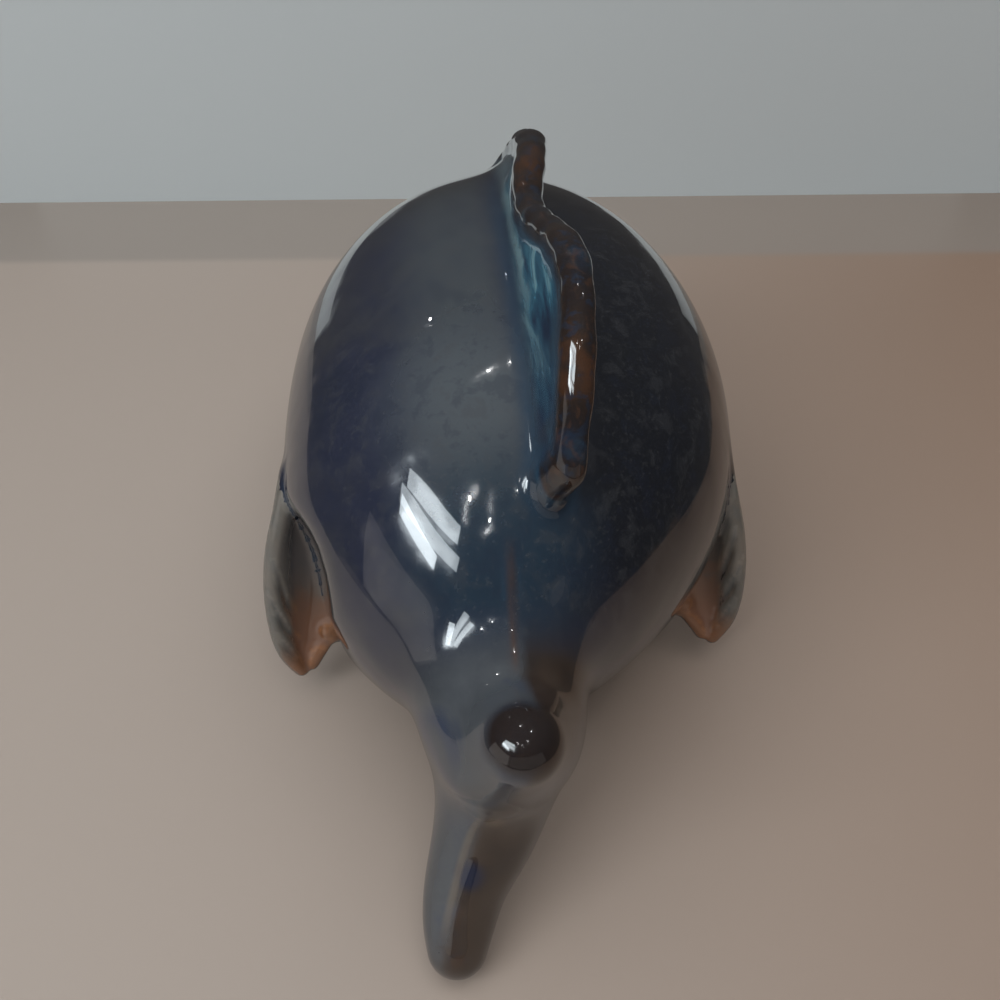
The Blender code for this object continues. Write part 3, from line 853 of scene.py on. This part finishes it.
def give(mesh, name, values):
    """Gives every point of a mesh a number or a vector, under a name."""
    kind, field = ("FLOAT", "value") if values.ndim == 1 else ("FLOAT_VECTOR", "vector")
    mesh.attributes.new(name, kind, "POINT").data.foreach_set(field, values.astype(np.float32).ravel())


def add_object(name, data):
    """Puts a new object into the scene."""
    obj = bpy.data.objects.new(name, data)
    bpy.context.scene.collection.objects.link(obj)
    return obj


def piece_mesh(name, points, normals, quads, extra):
    """Closed piece of the skin. Where it was cut from its neighbours, its edge turns inwards to a cap."""
    used = np.unique(quads)
    number = np.full(len(points), -1)
    number[used] = np.arange(len(used))
    mesh = bpy.data.meshes.new(name)
    mesh.from_pydata((points[used] + SHIFT).tolist(), [], number[quads].tolist())
    for key, values in extra.items():
        give(mesh, key, values[used])
    give(mesh, "facing", normals[used])
    bm = bmesh.new()
    bm.from_mesh(mesh)
    facing = bm.verts.layers.float_vector["facing"]
    border = bmesh.ops.extrude_edge_only(bm, edges=[e for e in bm.edges if e.is_boundary])["geom"]
    for part in border:
        if isinstance(part, bmesh.types.BMVert):
            part.co -= part[facing] * CAP_DEPTH
    bmesh.ops.holes_fill(bm, edges=[e for e in bm.edges if e.is_boundary], sides=0)
    bm.to_mesh(mesh)
    bm.free()
    facing = np.zeros(3 * len(mesh.vertices), np.float32)
    mesh.attributes["facing"].data.foreach_get("vector", facing)
    mesh.attributes.remove(mesh.attributes["facing"])
    mesh.shade_smooth()
    mesh.normals_split_custom_set_from_vertices(facing.reshape(-1, 3).tolist())
    return mesh


def show(obj, nodes, slot):
    """Puts a finished piece on the figurine in the place of its CAD nodes."""
    obj.data.materials.clear()
    obj.data.materials.append(GLAZES[slot])
    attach(obj, "root")
    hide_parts(*nodes)


def rgba(colour):
    """Opaque colour as a node takes it."""
    return (*(part / 1000 for part in colour), 1.0)


def arithmetic(operation, turned=False):
    """Operator that adds the node of an operation, for a value before or after the other one."""

    def method(self, other):
        first, second = (other, self) if turned else (self, other)
        return self.glaze.node("ShaderNodeMath", {"operation": operation}, {0: first, 1: second})

    return method


class Value:
    """Output of a shader node, with arithmetic that adds the nodes that work it out."""

    def __init__(self, glaze, socket):
        self.glaze = glaze
        self.socket = socket

    __add__ = arithmetic("ADD")
    __radd__ = arithmetic("ADD", turned=True)
    __sub__ = arithmetic("SUBTRACT")
    __rsub__ = arithmetic("SUBTRACT", turned=True)
    __mul__ = arithmetic("MULTIPLY")
    __rmul__ = arithmetic("MULTIPLY", turned=True)

    def between(self, low, high):
        """Rises smoothly from 0 to 1 as the value goes from low to high."""
        settings = {"interpolation_type": "SMOOTHSTEP"}
        return self.glaze.node("ShaderNodeMapRange", settings, {"Value": self, 1: low, 2: high})

    def line(self, half_width):
        """1 where the value is zero, falling smoothly to 0 on both sides."""
        size = self.glaze.node("ShaderNodeMath", {"operation": "ABSOLUTE"}, {0: self})
        return size.between(half_width, 0.2 * half_width)


class Glaze:
    """A material under construction."""

    def __init__(self, name):
        self.material = bpy.data.materials.new(name)
        self.material.use_nodes = True
        self.tree = self.material.node_tree
        self.shader = self.tree.nodes["Principled BSDF"]
        self.place = self.node("ShaderNodeTexCoord", {}, {}, "Object")

    def feed(self, socket, value):
        """Sets a socket to a number or a colour, or links it."""
        if isinstance(value, Value):
            self.tree.links.new(value.socket, socket)
        elif socket.type == "RGBA":
            socket.default_value = rgba(value)
        else:
            socket.default_value = value

    def node(self, kind, settings, values, output=0):
        """Adds a node: first its settings, then the values of its sockets. Returns one of its outputs."""
        node = self.tree.nodes.new(kind)
        for key, value in settings.items():
            if key == "stops":
                self.stops(node.color_ramp.elements, value)
            else:
                setattr(node, key, value)
        for key, value in values.items():
            self.feed(node.inputs[key], value)
        return Value(self, node.outputs[output])

    def stops(self, elements, stops):
        """Colours of a ramp, each at its position."""
        while len(elements) < len(stops):
            elements.new(1.0)
        for element, (position, colour) in zip(elements, stops):
            element.position = position
            element.color = rgba(colour)

    def finish(self, values):
        """Sets the sockets of the final shader."""
        for key, value in values.items():
            self.feed(self.shader.inputs[key], value)
        return self.material

    def known(self, name, output="Fac"):
        """An attribute that the piece carries."""
        return self.node("ShaderNodeAttribute", {"attribute_name": name}, {}, output)

    def cloud(self, scale, detail=3.0, roughness=0.5, distortion=0.0, where=None):
        """Soft noise between 0 and 1, with about so many patches to the metre."""
        values = {"Vector": where or self.place, "Scale": scale, "Detail": detail}
        values |= {"Roughness": roughness, "Distortion": distortion}
        return self.node("ShaderNodeTexNoise", {}, values)

    def blend(self, share, first, second):
        """Colour between two others."""
        return self.node("ShaderNodeMix", {"data_type": "RGBA"}, {0: share, 6: first, 7: second}, 2)

    def coats(self, colour, *coats):
        """Colour with others laid over it in turn, each with the share of it that it hides."""
        for share, other in coats:
            colour = self.blend(share, colour, other)
        return colour

    def ramp(self, value, *stops):
        """Colour picked by a value."""
        return self.node("ShaderNodeValToRGB", {"stops": stops}, {0: value})

    def near(self, spot, inner, outer):
        """1 close to a spot on the figurine, falling smoothly to 0."""
        ends = {0: self.place, 1: spot}
        away = self.node("ShaderNodeVectorMath", {"operation": "DISTANCE"}, ends, "Value")
        return away.between(outer, inner)

    def parts(self, vector):
        """The three numbers of a vector."""
        first = self.node("ShaderNodeSeparateXYZ", {}, {0: vector})
        return [Value(self, socket) for socket in first.socket.node.outputs]


def slate_colour(glaze):
    """Colour of the slate blue glaze that covers the whole figurine, with painted shade on the body's right
    side and a painted highlight patch on its back.
    """
    drift = glaze.cloud(26, 4, 0.6, 0.4)
    mottle = glaze.cloud(190, 4, 0.6, 0.3)
    grain = glaze.cloud(900, 3, 0.6)
    x, y, z = glaze.parts(glaze.place)
    colour = glaze.ramp(
        drift, (0.34, (13, 18, 36)), (0.48, (18, 22, 42)), (0.60, (24, 27, 40)), (0.72, (34, 37, 43))
    )
    spine = x.between(-0.006, 0.004) * x.between(0.030, 0.012) * z.between(0.086, 0.102)
    # Painted shade: the body's right side, ahead of the tail, is painted darker to stand in for the shade it
    # lies in
    shade = x.between(0.004, -0.022) * y.between(0.085, 0.060)
    # Painted highlight: a pale patch on the back that stands in for light mirrored by the glaze
    painted_sheen = glaze.near(PAINTED_SHEEN_PLACE, 0.006, 0.030)
    petrol = glaze.near(PETROL_PLACE, 0.008, 0.030)
    return glaze.coats(
        colour,
        (spine * (0.45 + drift), (47, 55, 63)),
        (shade * 0.85, (5, 6, 8)),
        (painted_sheen * (0.3 + drift * 0.6), (78, 91, 102)),
        (petrol * (0.3 + drift), (12, 30, 48)),
        (mottle.between(0.50, 0.66) * 0.28, (50, 52, 58)),
        (mottle.between(0.48, 0.36) * 0.24, (12, 17, 34)),
        (grain.between(0.55, 0.70) * 0.22, (75, 76, 80)),
    )


def fired(glaze, own_colour, roughness, breaks=0.6, pools=1.0):
    """Finishes a glaze: own colour over slate, breaks, pools, the seam, the bare foot, ripples and gloss."""
    thin, pool, seam, own = (glaze.known(name) for name in ("thin", "pool", "seam", "own"))
    mottle = glaze.cloud(150, 4, 0.6)
    patch = glaze.cloud(70, 3, 0.5, 0.6)
    blotch = glaze.cloud(330, 3, 0.6, 0.6)
    colour = slate_colour(glaze)
    if own_colour is not None:
        colour = glaze.blend(own, colour, own_colour)
    amber = glaze.ramp(
        patch, (0.34, (10, 14, 26)), (0.43, (12, 9, 10)), (0.56, (22, 13, 9)), (0.66, (52, 22, 10))
    )
    amber = glaze.coats(
        amber,
        (mottle.between(0.45, 0.62) * 0.6, (18, 14, 14)),
        (blotch.between(0.52, 0.66) * 0.55, (60, 27, 14)),
        (blotch.between(0.45, 0.38) * 0.55, (12, 22, 42)),
    )
    clay = glaze.ramp(glaze.cloud(900, 4), (0.35, (330, 235, 165)), (0.65, (450, 345, 255)))
    broken = (thin * (0.35 + patch * 1.2)).between(0.30, 0.90) * breaks
    bare = glaze.parts(glaze.place)[2].between(0.0016, 0.0006)
    colour = glaze.coats(
        colour,
        (broken * own, amber),
        (pool * (0.35 + mottle * 0.5) * pools, (16, 40, 70)),
        (seam * (0.2 + mottle * 0.6), (72, 35, 20)),
        (bare, clay),
    )
    ripple = glaze.cloud(34, 2, 0.5) + glaze.cloud(95, 1, 0.5) * 0.24
    orange_peel = glaze.cloud(260, 2, 0.5) * 0.022
    surface = ripple + orange_peel + glaze.cloud(1500, 2) * 0.004 * bare
    bumps = {"Height": surface, "Strength": 1.0, "Distance": RIPPLE_HEIGHT}
    return glaze.finish(
        {
            "Base Color": colour,
            "Roughness": glaze.cloud(700, 3) * 0.05 + roughness + bare * 0.7,
            "Normal": glaze.node("ShaderNodeBump", {}, bumps, "Normal"),
            "IOR": 1.60,
            "Coat Weight": 1.0 - bare,
            "Coat Roughness": 0.02,
            "Coat IOR": 1.6,
        }
    )


def slate_glaze(glaze):
    """Slate blue of the body."""
    return fired(glaze, None, roughness=0.10)


def teal_glaze(glaze):
    """Deep teal web with pale streaks, under an amber and brown rim, of the dorsal fin."""
    on_fin = glaze.known("on_fin", "Vector")
    station, height, _ = glaze.parts(on_fin)
    factors = {0: on_fin, 1: (0.30, 1.0, 0.6)}
    stretched = glaze.node("ShaderNodeVectorMath", {"operation": "MULTIPLY"}, factors)
    streak = glaze.cloud(190, 4, 0.6, 1.2, stretched)
    drift = glaze.cloud(60, 3, 0.5, 0.3)
    wave = glaze.cloud(110, 2)
    teal = glaze.ramp(
        streak, (0.34, (8, 24, 56)), (0.43, (18, 75, 125)), (0.53, (36, 130, 190)), (0.61, (140, 270, 320))
    )
    royal = glaze.ramp(streak, (0.42, (8, 18, 42)), (0.60, (18, 40, 70)), (0.68, (90, 170, 210)))
    rear = (station + drift * 0.03).between(0.058, 0.076)
    foot_line = (height - wave * 0.007 + 0.0005).line(0.0022) * station.between(0.060, 0.030)
    front = station.between(0.002, -0.020)
    colour = glaze.coats(
        teal,
        (rear * 0.7, royal),
        (foot_line * 0.9, (150, 245, 275)),
        (front * 0.7, (110, 150, 180)),
        (drift.between(0.56, 0.74) * 0.4, (36, 34, 32)),
    )
    return fired(glaze, colour, roughness=0.08, breaks=1.0)


def grey_blue_glaze(glaze):
    """Pale grey-blue on the left of the tail's ridge, brown on its right and on the upper lobe's end, with
    patches, two of them painted reflections of the dark room, and a pale line on the ridge that is a painted
    highlight.
    """
    x, _, z = glaze.parts(glaze.place)
    drift = glaze.cloud(45, 4, 0.6, 0.5)
    streak = glaze.cloud(160, 3, 0.6, 0.8)
    pale = glaze.ramp(drift, (0.36, (46, 52, 60)), (0.52, (62, 68, 76)), (0.68, (36, 46, 74)))
    brown = glaze.ramp(drift, (0.36, (20, 15, 13)), (0.55, (36, 23, 16)), (0.70, (52, 36, 26)))
    off = x - (RIDGE_PLACE[0] + SHIFT[0] + RIDGE_SLANT * RIDGE_PLACE[1]) + z * RIDGE_SLANT
    coats = [((off + streak * 0.003).between(0.0030, -0.0005), brown)]
    # The bump's dark end and the dark blue patch are painted reflections of the dark room; the lozenge is
    # the glaze's own colour
    for place, inner, outer, patch in TAIL_PATCHES:
        spot = tuple(float(a + b) for a, b in zip(place, SHIFT))
        coats.append((glaze.near(spot, inner, outer) * (0.5 + drift), patch))
    # Painted highlight: a pale tan line along the crest of the lower lobe's ridge
    crest_highlight = (off - 0.0004).line(0.0011) * z.between(0.050, 0.042) * z.between(0.014, 0.022)
    coats.append((crest_highlight * 0.45, (150, 118, 85)))
    return fired(glaze, glaze.coats(pale, *coats), roughness=0.10, breaks=0.4, pools=0.0)


def sage_glaze(glaze):
    """Pale edge, grey-brown palm running to amber and painted lighter than its glaze, and a navy line along
    the body, pooled glaze with painted shade, of the pectoral fins.
    """
    across, down, out = glaze.parts(glaze.known("on_fin", "Vector"))
    drift = glaze.cloud(90, 4, 0.6, 0.5)
    # The palm's colours are painted lighter than its glaze, painted light that makes up for the shade in the
    # hollow palm
    palm = glaze.ramp(
        (down + drift * 0.35).between(0.60, 1.05),
        (0.0, (155, 126, 106)),
        (0.30, (165, 118, 86)),
        (0.60, (225, 112, 58)),
        (1.0, (270, 118, 54)),
    )
    grey = glaze.ramp(drift, (0.38, (155, 150, 135)), (0.62, (200, 178, 152)))
    above_tip = down + drift * 0.1
    # Navy line where the fin meets the body: pooled glaze, with painted shade in the crease
    pool_and_shade_along_body = across.between(0.80, 0.96) * down.between(0.66, 0.40) * out.between(0.0005, -0.0005)
    colour = glaze.coats(
        palm,
        (across.between(0.26, 0.10) * above_tip.between(1.02, 0.80), grey),
        (out.between(-0.0008, 0.0010) * above_tip.between(1.05, 0.80), grey),
        (pool_and_shade_along_body * 0.85, (10, 20, 42)),
    )
    return fired(glaze, colour, roughness=0.09, breaks=0.2, pools=0.45)


def dark_glaze(glaze):
    """Near-black of the eyeballs."""
    colour = glaze.ramp(glaze.cloud(240, 4), (0.4, (10, 9, 12)), (0.7, (35, 28, 26)))
    return fired(glaze, colour, roughness=0.06)


def amber_glaze(glaze):
    """Amber of the coils round the eyes and of the lips."""
    colour = glaze.ramp(
        glaze.cloud(230, 4, 0.6), (0.35, (70, 34, 20)), (0.55, (170, 80, 34)), (0.72, (240, 140, 75))
    )
    return fired(glaze, colour, roughness=0.08)


RECIPES = {
    "slate_blue_glaze": slate_glaze,
    "teal_and_amber_glaze": teal_glaze,
    "grey_blue_glaze": grey_blue_glaze,
    "grey_green_to_amber_glaze": sage_glaze,
    "dark_glaze": dark_glaze,
    "amber_glaze": amber_glaze,
}
GLAZES = {name: recipe(Glaze(name)) for name, recipe in RECIPES.items()}
SLOTS = {
    "body_shell": "slate_blue_glaze",
    "dorsal_fin": "teal_and_amber_glaze",
    "tail_fin": "grey_blue_glaze",
    "left_pectoral_fin": "grey_green_to_amber_glaze",
    "right_pectoral_fin": "grey_green_to_amber_glaze",
    "left_eye": "dark_glaze",
    "right_eye": "dark_glaze",
}


def skin_pieces():
    """One closed piece of skin for each clay piece."""
    points, quads = grow_skin()
    _, slopes = measure(points)
    normals = softened(slopes / np.linalg.norm(slopes, axis=1)[:, None], quads)
    known = grown_attributes(points)
    middles = points[quads].mean(axis=1)
    nearest = forms(middles)[0].argmin(axis=0)
    nearest[(nearest == 0) & (middles[:, 1] > TAIL_JOINT_STATION)] = LIMB_NUMBERS["tail_fin"]
    for index, (name, slot) in enumerate(SLOTS.items()):
        chosen = quads[nearest == index]
        used = np.unique(chosen)
        extra = dict(known)
        places = np.zeros_like(points)
        if name == "dorsal_fin":
            places[used] = dorsal_place(points[used])
            extra["thin"] = dorsal_rimness(places)
        elif name == "left_pectoral_fin":
            places[used] = pectoral_place(points[used])[:, 1:]
        elif name == "right_pectoral_fin":
            places[used] = pectoral_place(mirrored(points[used]))[:, 1:]
        extra["on_fin"] = places
        mesh = piece_mesh(name + "_skin", points, normals, chosen, extra)
        show(add_object(name + "_skin", mesh), [name], slot)


def coil_tree():
    """Geometry nodes that roll a coil of clay along a path, as thick as the path says."""
    tree = bpy.data.node_groups.new("clay coil", "GeometryNodeTree")
    ports = (("Path", "Geometry"), ("Sides", "Int"), ("Glaze", "Material"))
    for name, kind in ports:
        tree.interface.new_socket(name, in_out="INPUT", socket_type="NodeSocket" + kind)
    tree.interface.new_socket("Coil", in_out="OUTPUT", socket_type="NodeSocketGeometry")
    add = tree.nodes.new
    start = add("NodeGroupInput")
    curve = add("GeometryNodeMeshToCurve")
    thick = add("GeometryNodeInputNamedAttribute")
    thick.data_type = "FLOAT"
    thick.inputs["Name"].default_value = "thick"
    ring = add("GeometryNodeCurvePrimitiveCircle")
    ring.inputs["Radius"].default_value = 1.0
    sweep = add("GeometryNodeCurveToMesh")
    sweep.inputs["Fill Caps"].default_value = True
    smooth = add("GeometryNodeSetShadeSmooth")
    real = add("GeometryNodeRealizeInstances")
    coat = add("GeometryNodeSetMaterial")
    end = add("NodeGroupOutput")
    links = (
        (start, "Path", curve, "Mesh"),
        (start, "Sides", ring, "Resolution"),
        (curve, "Curve", sweep, "Curve"),
        (ring, "Curve", sweep, "Profile Curve"),
        (thick, "Attribute", sweep, "Scale"),
        (sweep, "Mesh", smooth, "Geometry"),
        (smooth, "Geometry", real, "Geometry"),
        (real, "Geometry", coat, "Geometry"),
        (start, "Glaze", coat, "Material"),
        (coat, "Geometry", end, "Coil"),
    )
    for source, output, target, socket in links:
        tree.links.new(source.outputs[output], target.inputs[socket])
    return tree


COIL_TREE = coil_tree()


def coil(name, path, radii, closed, node):
    """Coil of clay along a path, made by the geometry nodes and kept as a plain mesh."""
    count = len(path)
    sides = [(i, (i + 1) % count) for i in range(count if closed else count - 1)]
    line = bpy.data.meshes.new(name + "_path")
    line.from_pydata((path + SHIFT).tolist(), sides, [])
    give(line, "thick", np.array(radii))
    maker = add_object(name + "_maker", line)
    modifier = maker.modifiers.new("clay coil", "NODES")
    modifier.node_group = COIL_TREE
    inputs = {"Sides": COIL_SIDES, "Glaze": GLAZES["amber_glaze"]}
    for item in COIL_TREE.interface.items_tree:
        if item.name in inputs:
            modifier[item.identifier] = inputs[item.name]
    graph = bpy.context.evaluated_depsgraph_get()
    mesh = bpy.data.meshes.new_from_object(maker.evaluated_get(graph))
    mesh.name = name
    bpy.data.objects.remove(maker)
    bm = bmesh.new()
    bm.from_mesh(mesh)
    bmesh.ops.remove_doubles(bm, verts=bm.verts, dist=1e-7)
    bmesh.ops.recalc_face_normals(bm, faces=bm.faces)
    bm.to_mesh(mesh)
    bm.free()
    mesh.shade_smooth()
    for key, value in COIL_ATTRIBUTES.items():
        give(mesh, key, np.full(len(mesh.vertices), value))
    show(add_object(name, mesh), [node], "amber_glaze")


def eye_coils():
    """Coil laid round each eyeball."""
    reach = math.sqrt(EYE_RADIUS**2 - EYE_SINK**2) + LUTING_GAP + EYE_RING_THICKNESS / 2
    turns = np.linspace(0.0, 2 * math.pi, EYE_RING_POINTS, endpoint=False)[:, None]
    size, lumps = EYE_RING_LUMPS
    radii = EYE_RING_THICKNESS / 2 * (1.0 + size * np.sin(lumps * turns[:, 0]))
    for name, (middle, normal) in EYES.items():
        side = unit(np.cross(normal, (0.0, 0.0, 1.0)))
        other = np.cross(normal, side)
        path = middle + normal * EYE_SINK + reach * (np.cos(turns) * side + np.sin(turns) * other)
        coil(name + "_coil", path, radii, True, name + "_ring")


def lips():
    """Two bars of clay bowed across the snout."""
    head = int(np.argmax(SHARES))
    for name, direction in (("upper_lip", 1.0), ("lower_lip", -1.0)):
        path = []
        radii = []
        for turn in np.linspace(-math.pi / 2, math.pi / 2, LIP_POINTS):
            bow = math.cos(turn)
            radius = LIP_THICKNESS / 2 * (LIP_CORNER_SHARE + (1 - LIP_CORNER_SHARE) * bow)
            across = MOUTH_WIDTH / 2 * math.sin(turn)
            level = MOUTH_LEVEL + direction * (MOUTH_OPENING / 2 * bow + LUTING_GAP / 2 + radius)
            share = math.hypot(across, level - BODY_CENTRE_HEIGHT) / BODY_HALF_WIDTH
            path.append((across, float(np.interp(share, SHARES[:head], STATIONS[:head])), level))
            end = max(0.0, abs(turn) / (math.pi / 2) - LIP_END_START) / (1.0 - LIP_END_START)
            radii.append(radius * math.sqrt(max(LIP_END_SQUARE, 1.0 - end**2)))
        coil(name + "_coil", np.array(path), radii, False, name)


def wall_paint():
    """Matt pale paint, a little cloudy."""
    paint = Glaze("wall_paint")
    dark = tuple(0.97 * c for c in WALL_COLOUR)
    colour = paint.blend(paint.cloud(3, 2), WALL_COLOUR, dark)
    return paint.finish({"Base Color": colour, "Roughness": 0.9})


def table_paint(out, edge):
    """Pale table, warmer and darker on the fish's right where shade is painted, darker in a strip at its far
    edge and where it is mirrored.
    """
    paint = Glaze("table_paint")
    x, y, _ = paint.parts(paint.place)
    # Painted shade: warmer and darker towards the fish's right, standing in for the warm shade that falls
    # there
    warm_painted_shade = (x + paint.cloud(3, 2) * 0.05).between(0.16, -0.24)
    strip = (x * out.x + y * out.y - edge).between(0.056, 0.050)
    mirrored_light = paint.node("ShaderNodeLightPath", {}, {}, "Is Glossy Ray")
    colour = paint.coats(
        (370, 310, 268),
        (warm_painted_shade, (275, 188, 138)),
        (strip * 0.75, (262, 232, 206)),
        (mirrored_light * 0.35, (20, 20, 20)),
    )
    return paint.finish({"Base Color": colour, "Roughness": 0.45})


def screen_cloth(name, glow):
    """Cloth that glows faintly by itself, a painted glow that the glaze mirrors, cloudy so that its mirror
    image isn't flat.
    """
    cloth = Glaze(name)
    bright = (glow, 0.94 * glow, 0.90 * glow)
    dim = tuple(0.7 * c for c in bright)
    # Painted glow: the cloth gives off light of its own, though it is no lamp
    light = cloth.ramp(cloth.cloud(12, 3), (0.3, dim), (0.7, bright))
    values = {"Base Color": (100, 100, 100), "Roughness": 0.9}
    return cloth.finish(values | {"Emission Color": light, "Emission Strength": 1.0})


def sheet(name, corners, faces, paint, mirrored_in_glaze):
    """Flat piece of the studio."""
    mesh = bpy.data.meshes.new(name)
    mesh.from_pydata(corners, [], faces)
    mesh.materials.append(paint)
    obj = add_object(name, mesh)
    obj.visible_glossy = mirrored_in_glaze
    return obj


def studio():
    """Table top, the wall behind it, and two low screens near the camera that only the glaze mirrors."""
    near, far = (Vector(p) + Vector(SHIFT) for p in WALL_FOOT)
    run = (near - far).normalized()
    out = Vector((-run.y, run.x, 0.0))
    out *= math.copysign(1.0, out.y)
    middle = (near + far) / 2
    table = table_paint(out, middle.dot(out))
    for name, paint, away in (("table_top", table, out), ("wall", wall_paint(), Vector((0, 0, 1)))):
        low, high, start, end = MIRRORED[name]
        rest = [(-SHEET_END, low, start, end), (high, SHEET_END, start, end)]
        rest.append((-SHEET_END, SHEET_END, end, SHEET_END))
        for part, rectangles in (("near", [MIRRORED[name]]), ("far", rest)):
            corners = []
            faces = []
            for low, high, start, end in rectangles:
                faces.append(tuple(range(len(corners), len(corners) + 4)))
                for along, up in ((low, start), (high, start), (high, end), (low, end)):
                    corners.append(middle + run * along + away * up)
            sheet(name + "_" + part, corners, faces, paint, part == "near")
    for name, first, last, height, glow in SCREENS:
        corners = [(*first, 0.0), (*last, 0.0), (*last, height), (*first, height)]
        screen = sheet(name, corners, [(0, 1, 2, 3)], screen_cloth(name + "_cloth", glow), True)
        screen.visible_camera = False
        screen.visible_shadow = False


def lamp(name, place, target, size, watts, seen_in_gloss):
    """Soft rectangular lamp that looks at a target."""
    data = bpy.data.lights.new(name, "AREA")
    data.shape = "RECTANGLE"
    data.size, data.size_y = size
    data.energy = watts
    obj = add_object(name, data)
    obj.location = place
    obj.rotation_euler = (Vector(target) - Vector(place)).to_track_quat("-Z", "Y").to_euler()
    obj.visible_glossy = seen_in_gloss
    return obj


def pane(place, run, width):
    """Window pane, with the slant that it has in the photo's reflections."""
    run = Vector(run)
    glass = lamp("pane", place, LAMP_TARGET, (run.length, width), PANE_WATTS, True)
    glass.data.color = rgba(PANE_COLOUR)[:3]
    right = run.normalized()
    up = Vector(place).normalized().cross(right).normalized()
    out = right.cross(up)
    glass.rotation_euler = Matrix([(right[i], up[i], out[i]) for i in range(3)]).to_euler()


def lights():
    """Dim room with a broad soft lamp overhead, a window behind the camera and six small lamps."""
    world = bpy.data.worlds.new("room")
    world.use_nodes = True
    tree = world.node_tree
    place = tree.nodes.new("ShaderNodeTexCoord")
    parts = tree.nodes.new("ShaderNodeSeparateXYZ")
    ramp = tree.nodes.new("ShaderNodeValToRGB")
    tree.links.new(place.outputs["Generated"], parts.inputs[0])
    tree.links.new(parts.outputs["Z"], ramp.inputs[0])
    tree.links.new(ramp.outputs[0], tree.nodes["Background"].inputs["Color"])
    for element, colour in zip(ramp.color_ramp.elements, ROOM_COLOURS):
        element.color = rgba(colour)
    bpy.context.scene.world = world
    overhead_size = (OVERHEAD_SIZE, OVERHEAD_SIZE)
    lamp("overhead", OVERHEAD_PLACE, (0, 0, 0), overhead_size, OVERHEAD_WATTS, False)
    for place, run, width in PANES:
        pane(place, run, width)
    for place in SPOTS:
        lamp("spot", place, LAMP_TARGET, (SPOT_SIZE, SPOT_SIZE), SPOT_WATTS, True)


def camera():
    """Camera where the photographer stood."""
    data = bpy.data.cameras.new("camera")
    data.sensor_width = SENSOR_WIDTH
    data.lens = SENSOR_WIDTH * FOCAL_LENGTH
    obj = add_object("camera", data)
    right, up, back = CAMERA_AXES
    place = Vector(CAMERA_PLACE) + Vector(SHIFT)
    obj.matrix_world = Matrix([(right[i], up[i], back[i], place[i]) for i in range(3)] + [(0, 0, 0, 1)])
    bpy.context.scene.camera = obj


bpy.context.scene.view_settings.view_transform = "Standard"
camera()
lights()
studio()
skin_pieces()
eye_coils()
lips()
